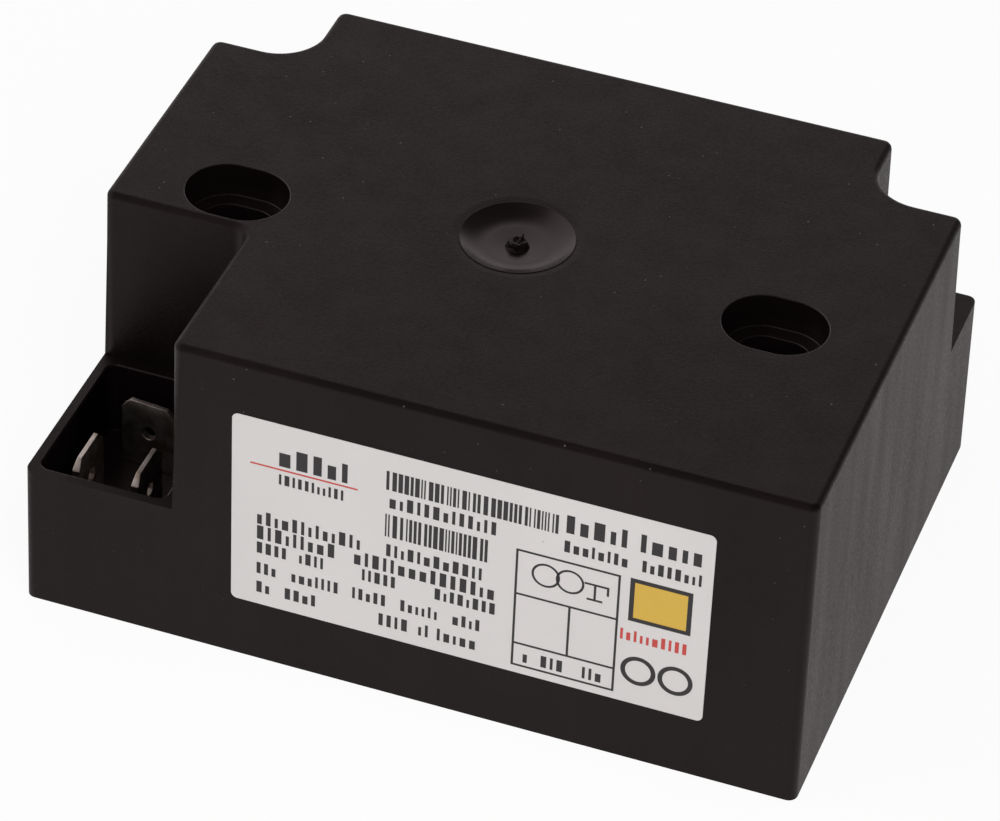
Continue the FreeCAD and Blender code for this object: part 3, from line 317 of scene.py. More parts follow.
def apply_place(piece):
    """Put an object's place and turn into its mesh."""
    select_only(piece)
    bpy.ops.object.transform_apply(location=True, rotation=True, scale=True)


def named(name):
    """The object that an operator has just added, under its name."""
    piece = bpy.context.active_object
    piece.name = name
    piece.data.name = name
    return piece


def pick(piece, kind, wanted):
    """Select in edit mode the vertices, edges or faces that a test accepts.

    The test gets a place, and for an edge its direction or for a face its normal as well.
    """
    bpy.ops.mesh.select_mode(type=kind)
    bpy.ops.mesh.select_all(action="DESELECT")
    mesh = bmesh.from_edit_mesh(piece.data)
    if kind == "VERT":
        for vertex in mesh.verts:
            vertex.select = wanted(vertex.co)
    elif kind == "EDGE":
        for line in mesh.edges:
            start, end = (vertex.co for vertex in line.verts)
            line.select = wanted((start + end) / 2, (end - start).normalized())
    else:
        for face in mesh.faces:
            face.select = wanted(face.calc_center_median(), face.normal)
    mesh.select_flush_mode()
    bmesh.update_edit_mesh(piece.data)


def lift(height):
    """Extrude the selection along Z."""
    bpy.ops.mesh.extrude_region_move(TRANSFORM_OT_translate={"value": (0, 0, height)})


def shift(across=0.0, back=0.0, up=0.0):
    """Move the selection."""
    bpy.ops.transform.translate(value=(across, back, up))


def modify(piece, kind, **settings):
    """Add a modifier, set it and apply it."""
    select_only(piece)
    bpy.ops.object.modifier_add(type=kind)
    modifier = piece.modifiers[-1]
    for name, value in settings.items():
        setattr(modifier, name, value)
    bpy.ops.object.modifier_apply(modifier=modifier.name)


def cut(piece, tool):
    """Cut one solid with another and delete the tool. The walls of the cut get the tool's material."""
    modify(
        piece, "BOOLEAN", operation="DIFFERENCE", solver="EXACT", material_mode="TRANSFER", object=tool
    )
    bpy.data.objects.remove(tool)


def cut_polished(piece, tool):
    """Cut a recess whose walls have the smoother finish that a polished core leaves."""
    tool.data.materials.append(bpy.data.materials[FINISH_NAME.format("case_polished")])
    cut(piece, tool)


def smooth(piece, angle=32 * DEGREE):
    """Smooth shading below an angle, with the large flats keeping their normals."""
    select_only(piece)
    bpy.ops.object.shade_smooth_by_angle(angle=angle)
    modify(piece, "WEIGHTED_NORMAL", mode="FACE_AREA", weight=50, keep_sharp=True)


def on(value, plane):
    """Whether a coordinate lies on a wall or level."""
    return abs(value - plane) < CLOSE


def axis_of(node):
    """Upright axis through the middle of a node of the frame."""
    low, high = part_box(node)
    return (low.x + high.x) / 2, (low.y + high.y) / 2


def add_rings(name, place, profile, count=64):
    """Closed solid of rings on one upright axis. The profile gives each ring's radius and height."""
    across, back = place
    radius, height = profile[0]
    bpy.ops.object.select_all(action="DESELECT")
    bpy.ops.mesh.primitive_circle_add(
        vertices=count,
        radius=radius,
        fill_type="NGON",
        location=(across, back, height),
        rotation=(0, 0, math.pi / count),
    )
    piece = named(name)
    apply_place(piece)
    edit(piece)
    bpy.ops.mesh.select_all(action="SELECT")
    for next_radius, next_height in profile[1:]:
        lift(next_height - height)
        grow = next_radius / radius
        bpy.ops.transform.resize(value=(grow, grow, 1), center_override=(across, back, next_height))
        radius, height = next_radius, next_height
    leave_edit()
    return piece


def spread(piece, place, across, back=0.0):
    """Push the quarters of a ring solid apart, which makes a slot or a rounded rectangle of it."""
    edit(piece)
    for way in (-1, 1):
        pick(piece, "VERT", lambda spot: (spot.x - place[0]) * way > 0)
        shift(across=across * way)
        pick(piece, "VERT", lambda spot: (spot.y - place[1]) * way > 0)
        shift(back=back * way)
    leave_edit()
    return piece


def quarter(steps):
    """How far an arc of a right angle is still from its end and has come from its start, step by step."""
    angles = [math.pi / 2 * step / steps for step in range(steps + 1)]
    return [(1 - math.sin(angle), 1 - math.cos(angle)) for angle in angles]


def mouth(radius, top, edge):
    """Rings that round the mouth of a recess outwards, up past its face."""
    rings = [(radius + edge * come, top - edge * left) for left, come in quarter(ARC_STEPS)]
    return rings + [(radius + edge, top + OVERCUT)]


def fillet_floor(radius, floor, edge):
    """Rings that round the foot of a recess."""
    return [(radius - edge * left, floor + edge * come) for left, come in quarter(ARC_STEPS)]


# Case


def wall_places(sizes, inset):
    """Where the walls stand at the mounting plane, each moved inwards by an inset."""
    return {
        "end": sizes.length / 2 - inset,
        "side": sizes.width / 2 - inset,
        "bay_x": -sizes.length / 2 + sizes.bay_length + inset,
        "bay_y": -sizes.width / 2 + sizes.bay_depth + inset,
        "step_x": sizes.length / 2 - sizes.step_length - inset,
        "step_y": sizes.width / 2 - sizes.step_depth - inset,
    }


def add_box(name, low, high):
    """Box between two corners."""
    low, high = Vector(low), Vector(high)
    bpy.ops.object.select_all(action="DESELECT")
    bpy.ops.mesh.primitive_cube_add(size=1, location=(low + high) / 2, scale=high - low)
    piece = named(name)
    apply_place(piece)
    return piece


def add_notch(block, corner, ends, floor, leans, radius, segments):
    """Cut a low corner into a block. Its two walls meet at the corner given, lean and are filleted."""
    top = max(vertex.co.z for vertex in block.data.vertices) + OVERCUT
    ways = [math.copysign(1, end - start) for start, end in zip(corner, ends)]
    far = [end + way * OVERCUT for end, way in zip(ends, ways)]
    low = (min(corner[0], far[0]), min(corner[1], far[1]), floor)
    high = (max(corner[0], far[0]), max(corner[1], far[1]), top)
    notch = add_box("notch", low, high)
    edit(notch)
    if radius:
        pick(notch, "EDGE", upright_at([corner], CLOSE))
        bevel(radius, segments)
    for plane in (floor, top):
        pick(notch, "VERT", lambda spot: on(spot.z, plane) and (spot.x - far[0]) * ways[0] < -CLOSE)
        shift(across=-ways[0] * plane * leans[0])
        pick(notch, "VERT", lambda spot: on(spot.z, plane) and (spot.y - far[1]) * ways[1] < -CLOSE)
        shift(back=-ways[1] * plane * leans[1])
    leave_edit()
    cut(block, notch)


def add_stepped_block(name, sizes, inset, levels, foot, bay_round, step_round):
    """Block with a low bay corner and two low back corners. All walls but the bay's lean in."""
    walls = wall_places(sizes, inset)
    bay_level, step_level, roof_level = levels
    slope = math.tan(sizes.lean)
    end, side = walls["end"], walls["side"]
    block = add_box(name, (-end, -side, foot), (end, side, roof_level))
    edit(block)
    for plane in (foot, roof_level):
        pick(block, "VERT", lambda spot: on(spot.z, plane))
        narrow = (1 - plane * slope / end, 1 - plane * slope / side, 1)
        bpy.ops.transform.resize(value=narrow, center_override=(0, 0, plane))
    leave_edit()
    add_notch(block, (walls["bay_x"], walls["bay_y"]), (-end, -side), bay_level, (0, 0), bay_round, 8)
    for way in (-1, 1):
        corner = (way * walls["step_x"], walls["step_y"])
        add_notch(block, corner, (way * end, side), step_level, (slope, slope), step_round, 14)
    return block


def upright_at(places, room):
    """Test for upright edges near given plan places."""

    def wanted(middle, direction):
        if abs(direction.z) < UPRIGHT:
            return False
        return any(abs(middle.x - x) < room and abs(middle.y - y) < room for x, y in places)

    return wanted


def bevel(offset, segments):
    """Round the selected edges."""
    bpy.ops.mesh.bevel(
        offset=offset, offset_type="OFFSET", segments=segments, affect="EDGES", clamp_overlap=False
    )


def round_block(block, sizes):
    """Rounding of the outer upright corners and of the roof."""
    walls = wall_places(sizes, 0)
    room = sizes.height * math.tan(sizes.lean) + CLOSE
    corners = [(x * walls["end"], y * walls["side"]) for x in (-1, 1) for y in (-1, 1)]
    corners += [(way * walls["step_x"], walls["side"]) for way in (-1, 1)]
    corners += [(way * walls["end"], walls["step_y"]) for way in (-1, 1)]
    corners += [(walls["bay_x"], -walls["side"]), (-walls["end"], walls["bay_y"])]
    edit(block)
    pick(block, "EDGE", upright_at(corners, room))
    bevel(sizes.corner_round, 6)
    pick(block, "EDGE", lambda middle, direction: on(middle.z, sizes.height))
    bevel(sizes.roof_round, 4)
    leave_edit()


def slot_places(sizes):
    """Axes of the two screw slots."""
    back = -sizes.width / 2 + sizes.slot_from_front
    return [(way * (sizes.length / 2 - sizes.slot_from_end), back) for way in (-1, 1)]


def pin_places():
    """Axes of the two plug pins, from the frame."""
    return [axis_of(node) for node in PINS.values()]


def add_cavity(sizes):
    """Hollow of the moulding, with the screw bosses and well tubes left standing."""
    levels = (
        sizes.bay_floor - sizes.bay_floor_thickness,
        sizes.step_height - sizes.wall,
        sizes.height - sizes.roof,
    )
    step_round = sizes.step_round + sizes.wall
    hollow = add_stepped_block("hollow", sizes, sizes.wall, levels, -OVERCUT, 0, step_round)
    slot_run = (sizes.slot_length - sizes.slot_width) / 2
    recess_run = (sizes.recess_length - sizes.recess_width) / 2
    cup_foot = sizes.height - sizes.recess_depth - sizes.boss_wall
    top = sizes.height + OVERCUT
    for place in slot_places(sizes):
        radius = sizes.slot_width / 2 + sizes.boss_wall
        tube = add_rings("boss_tube", place, [(radius, -2 * OVERCUT), (radius, top)])
        cut(hollow, spread(tube, place, slot_run))
        radius = sizes.recess_width / 2 + sizes.boss_wall
        cup = add_rings("boss_cup", place, [(radius, cup_foot), (radius, top)])
        cut(hollow, spread(cup, place, recess_run))
    tube_foot = sizes.well_floor - sizes.well_floor_thickness
    for place in pin_places():
        radius = sizes.well_radius + sizes.well_wall
        cut(hollow, add_rings("well_tube", place, [(radius, tube_foot), (radius, top)]))
    return hollow


def cut_bay_pocket(case, sizes):
    """Pocket that the blades stand in."""
    middle = ((-sizes.length + sizes.bay_length) / 2, (-sizes.width + sizes.bay_depth) / 2)
    corner = sizes.bay_corner
    profile = fillet_floor(corner, sizes.bay_floor, sizes.edge_round)
    profile += mouth(corner, sizes.bay_rim, sizes.edge_round)
    pocket = add_rings("bay_pocket", middle, profile, count=32)
    half_x = sizes.bay_length / 2 - sizes.bay_lip - corner
    half_y = sizes.bay_depth / 2 - sizes.bay_lip - corner
    cut_polished(case, spread(pocket, middle, half_x, half_y))


def cut_blade_passages(case, sizes, terminals):
    """Slits in the bay floor that the blades come up through."""
    for node, angle in BLADES.values():
        bpy.ops.object.select_all(action="DESELECT")
        bpy.ops.mesh.primitive_cube_add(
            size=1,
            location=(*axis_of(node), sizes.bay_floor),
            rotation=(0, 0, angle * DEGREE),
            scale=(
                terminals.blade_width + 2 * terminals.play,
                terminals.blade_thickness + 2 * terminals.play,
                4 * sizes.bay_floor_thickness,
            ),
        )
        slit = named("blade_slit")
        apply_place(slit)
        cut_polished(case, slit)


def cut_screw_slots(case, sizes):
    """Slotted screw holes with their head recesses."""
    floor = sizes.height - sizes.recess_depth
    slot_radius = sizes.slot_width / 2
    recess_radius = sizes.recess_width / 2
    for place in slot_places(sizes):
        through = [(slot_radius, -OVERCUT)] + mouth(slot_radius, floor, 0.8 * sizes.edge_round)
        slot = add_rings("screw_slot", place, through)
        cut_polished(case, spread(slot, place, (sizes.slot_length - sizes.slot_width) / 2))
        profile = fillet_floor(recess_radius, floor, sizes.edge_round)
        profile += mouth(recess_radius, sizes.height, 0.7 * sizes.edge_round)
        recess = add_rings("head_recess", place, profile, count=80)
        cut_polished(case, spread(recess, place, (sizes.recess_length - sizes.recess_width) / 2))


def cut_wells(case, sizes, terminals):
    """Wells round the plug pins, with the press hole in their floors."""
    for place in pin_places():
        profile = [(terminals.shank_radius, sizes.well_floor - 2 * sizes.well_floor_thickness)]
        profile += [(terminals.shank_radius, sizes.well_floor)]
        profile += fillet_floor(sizes.well_radius, sizes.well_floor, sizes.edge_round)
        profile += mouth(sizes.well_radius, sizes.step_height, sizes.edge_round)
        cut_polished(case, add_rings("pin_well", place, profile))


def dish_place(sizes):
    """Axis of the gate dish."""
    return (sizes.dish_off_centre, -sizes.width / 2 + sizes.dish_from_front)


# Rings between the crease of the gate dish and its rim
BOWL_STEPS = 12


def cut_gate_dish(case, sizes):
    """Round dish in the roof: a shallow middle, a crease and a bowl that steepens to the rim."""
    top = sizes.height
    profile = [
        (0.6 * sizes.nub_radius, top - sizes.dish_depth),
        (sizes.nub_radius, top - sizes.dish_depth + 0.01 * MM),
    ]
    reach = sizes.dish_radius - sizes.dish_ring_radius
    for step in range(BOWL_STEPS):
        way_out = step / BOWL_STEPS
        depth = sizes.dish_ring_depth * (1 - way_out**sizes.dish_curve)
        profile.append((sizes.dish_ring_radius + reach * way_out, top - depth))
    profile += [(sizes.dish_radius, top - 0.02 * MM), (sizes.dish_radius + 0.02 * MM, top + OVERCUT)]
    cut_polished(case, add_rings("gate_dish", dish_place(sizes), profile, count=128))


def add_dish_ridge(case, sizes):
    """Let the roof dip round the rim of the dish, which leaves a fine ridge standing."""
    top = sizes.height
    lip, dip, reach = sizes.dish_lip, sizes.dish_dip, sizes.dish_reach
    profile = [
        (sizes.dish_radius + lip, top - dip),
        (sizes.dish_radius + 0.35 * reach, top - 0.55 * dip),
        (sizes.dish_radius + reach, top - 0.05 * dip),
        (sizes.dish_radius + 1.01 * reach, top + OVERCUT),
    ]
    disc = add_rings("dish_dip", dish_place(sizes), profile, count=128)
    core = [(sizes.dish_radius + lip, top - OVERCUT), (sizes.dish_radius + 0.4 * lip, top + 2 * OVERCUT)]
    cut(disc, add_rings("dish_core", dish_place(sizes), core, count=128))
    cut(case, disc)


# Width and rise of the rings of the sprue nub, as shares of its radius and height
NUB_RINGS = (
    (1.08, -0.1),
    (1.08, 0.1),
    (0.92, 0.25),
    (0.86, 0.55),
    (0.8, 0.85),
    (0.5, 1.0),
    (0.25, 0.75),
    (0.1, 0.7),
)
# Widths of the rings of the thread, from its foot up, as shares of its radius
THREAD_WIDTHS = (1.6, 1.2, 1.0, 0.9, 0.8, 0.4)


def add_sprue_nub(sizes):
    """Rough stub where the sprue broke off, with a thread pulled out of it."""
    place = dish_place(sizes)
    floor = sizes.height - sizes.dish_depth
    rise = sizes.nub_height
    profile = [(sizes.nub_radius * wide, floor + rise * up) for wide, up in NUB_RINGS]
    nub = add_rings("sprue_nub", place, profile, count=20)
    edit(nub)
    pick(nub, "VERT", lambda spot: spot.z > floor + 0.3 * rise)
    bpy.ops.transform.vertex_random(offset=0.17 * sizes.nub_radius, uniform=0.2, normal=0.3, seed=11)
    leave_edit()
    modify(nub, "SUBSURF", levels=2, render_levels=2)

    spot = (place[0] + 0.25 * sizes.nub_radius, place[1] + 0.45 * sizes.nub_radius)
    foot = floor + 0.6 * rise
    step = sizes.thread_length / (len(THREAD_WIDTHS) - 1)
    profile = [(sizes.thread_radius * wide, foot + step * index) for index, wide in enumerate(THREAD_WIDTHS)]
    thread = add_rings("sprue_thread", spot, profile, count=10)
    edit(thread)
    for index in range(1, len(THREAD_WIDTHS)):
        pick(thread, "VERT", lambda point: point.z > foot + step * (index - 0.5))
        shift(across=0.02 * step * index, back=0.12 * step * index)
    leave_edit()
    select_only(nub)
    thread.select_set(True)
    bpy.ops.object.join()
    return named("sprue_nub")


# Label


def wall_turn(case):
    """Turn that stands a flat drawing on the leaning label wall."""
    return math.pi / 2 - case.lean


def stand_on_wall(piece, case, label):
    """Move a piece drawn flat, with its lower left corner at the origin, onto the label wall."""
    piece.rotation_euler = (wall_turn(case), 0, 0)
    piece.location = (
        -case.length / 2 + label.from_left,
        -case.width / 2 + label.from_base * math.tan(case.lean),
        label.from_base,
    )
    apply_place(piece)


def add_film(case, label):
    """Label film with rounded corners."""
    middle = (label.length / 2, label.height / 2)
    edge = 0.25 * label.thickness
    profile = [
        (label.corner, -0.2 * label.thickness),
        (label.corner, label.thickness - edge),
        (label.corner - edge, label.thickness),
    ]
    film = add_rings("label_film", middle, profile, count=40)
    spread(film, middle, label.length / 2 - label.corner, label.height / 2 - label.corner)
    stand_on_wall(film, case, label)
    smooth(film)
    return film


def begin_print(name):
    """Empty mesh that printed shapes are drawn into."""
    bpy.ops.object.select_all(action="DESELECT")
    bpy.ops.mesh.primitive_plane_add(size=1)
    sheet = named(name)
    edit(sheet)
    bpy.ops.mesh.delete(type="VERT")
    return sheet


def end_print(sheet, case, label):
    """Give the drawn shapes the thickness of ink and stand them on the wall."""
    bpy.ops.mesh.select_all(action="SELECT")
    lift(label.ink)
    bpy.ops.mesh.select_all(action="SELECT")
    shift(up=label.thickness - 0.3 * label.ink)
    leave_edit()
    stand_on_wall(sheet, case, label)
    return sheet


def draw_block(left, low, right, high):
    """Filled rectangle."""
    middle = ((left + right) / 2 * MM, (low + high) / 2 * MM, 0)
    bpy.ops.mesh.primitive_plane_add(size=1, location=middle)
    bpy.ops.transform.resize(value=((right - left) * MM, (high - low) * MM, 1), center_override=middle)


def draw_frame(left, low, right, high, stroke):
    """Outline of a rectangle."""
    draw_block(left, low, right, high)
    bpy.ops.mesh.inset(thickness=stroke * MM)
    bpy.ops.mesh.delete(type="FACE")


def draw_ring(across, up, radius, stroke):
    """Outline of a circle."""
    bpy.ops.mesh.primitive_circle_add(
        vertices=40, radius=radius * MM, fill_type="NGON", location=(across * MM, up * MM, 0)
    )
    bpy.ops.mesh.inset(thickness=stroke * MM)
    bpy.ops.mesh.delete(type="FACE")


# Blocks of a word, as shares of the height of its row
BLOCK_WIDTHS = (0.20, 0.30, 0.40)
BLOCK_HEIGHTS = (0.72, 1.0, 1.0)
BLOCK_GAP = 0.26
# Narrowest bar in millimetres, and the bars and gaps as multiples of it
NARROW_BAR = 0.16
BAR_WIDTHS = (1, 1, 2, 2, 3)
BAR_GAPS = (1, 1, 1, 2)


def draw_word(draws, left, right, low, height, weight):
    """Run of plain blocks, some low and some tall, that stands for a word."""
    across = left
    while True:
        wide = weight * height * draws.choice(BLOCK_WIDTHS)
        if across + wide > right:
            return
        draw_block(across, low, across + wide, low + height * draws.choice(BLOCK_HEIGHTS))
        across += wide + BLOCK_GAP * height


def draw_bars(draws, left, right, low, high):
    """Upright bars of uneven width, like a bar code that says nothing."""
    across = left
    while across < right - max(BAR_WIDTHS) * NARROW_BAR:
        wide = NARROW_BAR * draws.choice(BAR_WIDTHS)
        draw_block(across, low, across + wide, high)
        across += wide + NARROW_BAR * draws.choice(BAR_GAPS)


# Places on the label below are millimetres from its lower left corner. A row of print is the foot and
# height of its marks and where its words start and end.
TEXT_ROWS = (
    (10.6, 1.7, ((2.8, 14.2),)),
    (8.65, 1.75, ((2.8, 12.3), (13.3, 29.0))),
    (6.8, 1.45, ((2.8, 6.2), (7.4, 10.6), (14.2, 18.2), (22.0, 29.0))),
    (4.1, 1.45, ((2.8, 5.5), (6.6, 12.2), (13.2, 16.8), (18.4, 22.9), (24.0, 27.6))),
    (1.6, 1.45, ((2.8, 5.0), (5.9, 9.8))),
    (1.5, 1.55, ((16.1, 19.6), (20.4, 21.6), (22.4, 26.5))),
    (17.05, 1.65, ((16.9, 28.7),)),
    (10.8, 1.55, ((16.7, 27.8),)),
    (17.3, 1.45, ((35.3, 42.2), (43.4, 49.6))),
    (1.6, 1.5, ((31.6, 32.8), (33.5, 36.4), (37.9, 40.7))),
    (16.4, 1.3, ((5.1, 12.6),)),
)
BOLD_ROWS = (
    (19.75, 2.25, ((35.4, 42.3), (43.1, 50.0))),
    (18.75, 2.4, ((5.1, 12.9),)),
)
BOLD_WEIGHT = 1.25
RED_RULE = (2.0, 18.2, 13.5, 18.4)
BAR_CODES = ((16.5, 35.0, 19.3, 21.7), (16.5, 27.7, 13.3, 16.2))
TABLE = (30.35, 0.95, 41.3, 16.15)
TABLE_ROWS = (10.4, 3.95)
TABLE_DIVIDER = 36.2
TABLE_RINGS = ((33.55, 13.6), (36.1, 13.6))
TABLE_RING = 1.5
TABLE_STROKES = (
    (37.6, 13.9, 40.2, 14.15),
    (38.6, 12.2, 38.85, 13.9),
    (37.9, 11.95, 39.55, 12.2),
    (39.95, 13.0, 40.2, 13.9),
)
YELLOW_PATCH = (42.3, 10.7, 48.8, 16.2)
RED_ROW = (8.1, 1.4, ((41.6, 49.2),))
TWIN_RINGS = ((43.7, 4.4), (47.6, 4.4))
TWIN_RING = 1.85


def print_rows(draws, rows, weight):
    """Words of several rows."""
    for low, height, words in rows:
        for left, right in words:
            draw_word(draws, left, right, low, height, weight)


def print_dark(case, label):
    """Dark print: rows of marks, bar codes, a ruled table and plain rings."""
    draws = random.Random(label.seed)
    stroke, bold = label.stroke / MM, label.bold_stroke / MM
    sheet = begin_print("label_print_dark")
    print_rows(draws, TEXT_ROWS, 1)
    print_rows(draws, BOLD_ROWS, BOLD_WEIGHT)
    for left, right, low, high in BAR_CODES:
        draw_bars(draws, left, right, low, high)
    draw_frame(*TABLE, stroke)
    half = stroke / 2
    for up in TABLE_ROWS:
        draw_block(TABLE[0] + stroke, up - half, TABLE[2] - stroke, up + half)
    draw_block(TABLE_DIVIDER - half, TABLE_ROWS[1] + half, TABLE_DIVIDER + half, TABLE_ROWS[0] - half)
    for across, up in TABLE_RINGS:
        draw_ring(across, up, TABLE_RING, stroke)
    for block in TABLE_STROKES:
        draw_block(*block)
    for across, up in TWIN_RINGS:
        draw_ring(across, up, TWIN_RING, bold)
    draw_frame(*YELLOW_PATCH, bold)
    return end_print(sheet, case, label)


def print_red(case, label):
    """Red print: a rule and one row."""
    draws = random.Random(label.seed + 1)
    sheet = begin_print("label_print_red")
    draw_block(*RED_RULE)
    print_rows(draws, (RED_ROW,), 1)
    return end_print(sheet, case, label)


def print_yellow(case, label):
    """Yellow patch inside its dark frame."""
    sheet = begin_print("label_print_yellow")
    inset = label.bold_stroke / MM
    left, low, right, high = YELLOW_PATCH
    draw_block(left + inset, low + inset, right - inset, high - inset)
    return end_print(sheet, case, label)


# Terminals


def add_blade(case, terminals):
    """Stamped blade at the origin, its faces towards -Y and +Y, at the heights of the frame."""
    foot, tip = (corner.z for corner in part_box("line_terminal"))
    half = terminals.blade_width / 2
    face = terminals.blade_thickness / 2
    shoulder = terminals.shoulder_width / 2
    under = case.bay_floor - case.bay_floor_thickness
    seat = under - terminals.shoulder_height
    blade = add_box("blade", (-shoulder, -face, seat), (shoulder, face, under))
    edit(blade)
    inner = (terminals.leg_spacing - terminals.leg_width) / 2
    outer = (terminals.leg_spacing + terminals.leg_width) / 2
    for across in (-half, -outer, -inner, inner, outer, half):
        bpy.ops.mesh.select_all(action="SELECT")
        bpy.ops.mesh.bisect(plane_co=(across, 0, 0), plane_no=(1, 0, 0))
    pick(blade, "FACE", lambda spot, normal: normal.z > UPRIGHT and abs(spot.x) < half)
    lift(tip - terminals.bevel_length - under)
    lift(terminals.bevel_length)
    bpy.ops.transform.resize(value=(1, 1 - terminals.bevel / face, 1), center_override=(0, 0, tip))

    def over_leg(spot):
        return abs(abs(spot.x) - terminals.leg_spacing / 2) < terminals.leg_width / 2

    pick(blade, "FACE", lambda spot, normal: normal.z < -UPRIGHT and over_leg(spot))
    lift(foot - seat)
    bpy.ops.mesh.select_all(action="SELECT")
    bpy.ops.mesh.normals_make_consistent(inside=False)
    # Make each flat one face again
    bpy.ops.mesh.select_mode(type="EDGE")
    bpy.ops.mesh.select_all(action="DESELECT")
    bpy.ops.mesh.edges_select_sharp(sharpness=DEGREE)
    bpy.ops.mesh.select_all(action="INVERT")
    bpy.ops.mesh.dissolve_edges(use_verts=True)
    leave_edit()
    # Cut the two corners of the tip
    for way in (-1, 1):
        slope = Vector((terminals.corner_down * way, 0, terminals.corner_across)).normalized()
        edit(blade)
        bpy.ops.mesh.select_all(action="SELECT")
        bpy.ops.mesh.bisect(
            plane_co=(way * half, 0, tip - terminals.corner_down),
            plane_no=slope,
            use_fill=True,
            clear_outer=True,
        )
        leave_edit()
    modify(
        blade,
        "BEVEL",
        width=terminals.burr_round,
        segments=2,
        limit_method="ANGLE",
        angle_limit=30 * DEGREE,
        use_clamp_overlap=True,
    )
    radius, burr = terminals.hole_radius, terminals.burr_round
    half_hole = [(radius, face - burr), (radius + burr, face), (radius + burr, OVERCUT)]
    profile = [(wide, -along) for wide, along in reversed(half_hole)] + half_hole
    hole = add_rings("detent", (0, 0), profile, count=40)
    hole.rotation_euler = (math.pi / 2, 0, 0)
    hole.location = (0, 0, tip - terminals.hole_drop)
    apply_place(hole)
    cut(blade, hole)
    smooth(blade)
    return blade


def copy_of(piece, name):
    """Copy of a piece with a mesh of its own."""
    select_only(piece)
    bpy.ops.object.duplicate(linked=False)
    return named(name)


def add_pin(case, terminals, name, node):
    """Turned plug pin with a rounded tip and the collar that takes the lead."""
    place = axis_of(node)
    foot, top = (corner.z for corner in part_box(node))
    base = case.well_floor - case.well_floor_thickness
    tip = terminals.pin_tip
    burr = terminals.burr_round
    profile = [
        (terminals.collar_radius - burr, foot),
        (terminals.collar_radius, foot + burr),
        (terminals.collar_radius, base - burr),
        (terminals.collar_radius - burr, base),
        (terminals.shank_radius, base),
        (terminals.shank_radius, case.well_floor - burr),
        (terminals.shank_radius - burr, case.well_floor),
        (terminals.pin_radius, case.well_floor),
    ]
    profile += [(terminals.pin_radius - tip * come, top - tip * left) for left, come in quarter(6)]
    pin = add_rings(name, place, profile, count=56)
    radius = terminals.lead_radius
    hole = add_rings("lead_hole", (0, 0), [(radius, 0), (radius, terminals.collar_radius)], count=32)
    inwards = -1 if place[0] > 0 else 1
    hole.rotation_euler = (0, inwards * math.pi / 2, 0)
    reach = terminals.collar_radius - terminals.lead_plug
    hole.location = (place[0] + inwards * reach, place[1], base - terminals.collar_height / 2)
    apply_place(hole)
    cut(pin, hole)
    smooth(pin)
    return pin


# Node groups and materials


def new_group(name, inputs, outputs):
    """Empty shader group with its sockets, and its input and output nodes."""
    tree = bpy.data.node_groups.new(name, "ShaderNodeTree")
    for socket_name, kind, default in inputs:
        socket = tree.interface.new_socket(name=socket_name, in_out="INPUT", socket_type=kind)
        if default is not None:
            socket.default_value = default
    for socket_name, kind in outputs:
        tree.interface.new_socket(name=socket_name, in_out="OUTPUT", socket_type=kind)
    return tree, tree.nodes.new("NodeGroupInput"), tree.nodes.new("NodeGroupOutput")


def add_node(tree, kind, settings=None, **values):
    """Node with its settings and the values or links of its inputs."""
    node = tree.nodes.new("ShaderNode" + kind)
    for name, value in (settings or {}).items():
        setattr(node, name, value)
    for name, value in values.items():
        socket = node.inputs[name.replace("_", " ")]
        if isinstance(value, bpy.types.NodeSocket):
            tree.links.new(value, socket)
        else:
            socket.default_value = value
    return node


def maths(tree, operation, first, second=0.0, third=0.0):
    """Math node, returned as its result."""
    node = tree.nodes.new("ShaderNodeMath")
    node.operation = operation
    for socket, value in zip(node.inputs, (first, second, third)):
        if isinstance(value, bpy.types.NodeSocket):
            tree.links.new(value, socket)
        else:
            socket.default_value = value
    return node.outputs[0]


def blend_colours(tree, mask, first, second):
    """Mix of two colours by a mask."""
    node = tree.nodes.new("ShaderNodeMix")
    node.data_type = "RGBA"
    mask_socket, *colour_sockets = [socket for socket in node.inputs if socket.enabled]
    tree.links.new(mask, mask_socket)
    for socket, colour in zip(colour_sockets, (first, second)):
        if isinstance(colour, bpy.types.NodeSocket):
            tree.links.new(colour, socket)
        else:
            socket.default_value = (*colour, 1)
    return next(socket for socket in node.outputs if socket.enabled)


def spread_of(tree, value, low, high, out_low, out_high):
    """Clamped remap of a value."""
    node = add_node(tree, "MapRange", Value=value)
    for name, number in (("From Min", low), ("From Max", high), ("To Min", out_low), ("To Max", out_high)):
        node.inputs[name].default_value = number
    return node.outputs[0]


def grain_group():
    """Fine surface grain and slow drift of tone."""
    tree, source, sink = new_group(
        "surface_grain",
        [("Vector", "NodeSocketVector", None), ("Scale", "NodeSocketFloat", 4000.0)],
        [("Grain", "NodeSocketFloat"), ("Drift", "NodeSocketFloat")],
    )
    vector, scale = source.outputs["Vector"], source.outputs["Scale"]
    fine = add_node(tree, "TexNoise", Vector=vector, Scale=scale, Detail=4.0, Roughness=0.6)
    slow_scale = maths(tree, "DIVIDE", scale, 45.0)
    slow = add_node(tree, "TexNoise", Vector=vector, Scale=slow_scale, Detail=3.0, Roughness=0.55)
    tree.links.new(fine.outputs[0], sink.inputs["Grain"])
    tree.links.new(spread_of(tree, slow.outputs[0], 0.35, 0.65, 0.0, 1.0), sink.inputs["Drift"])
    return tree


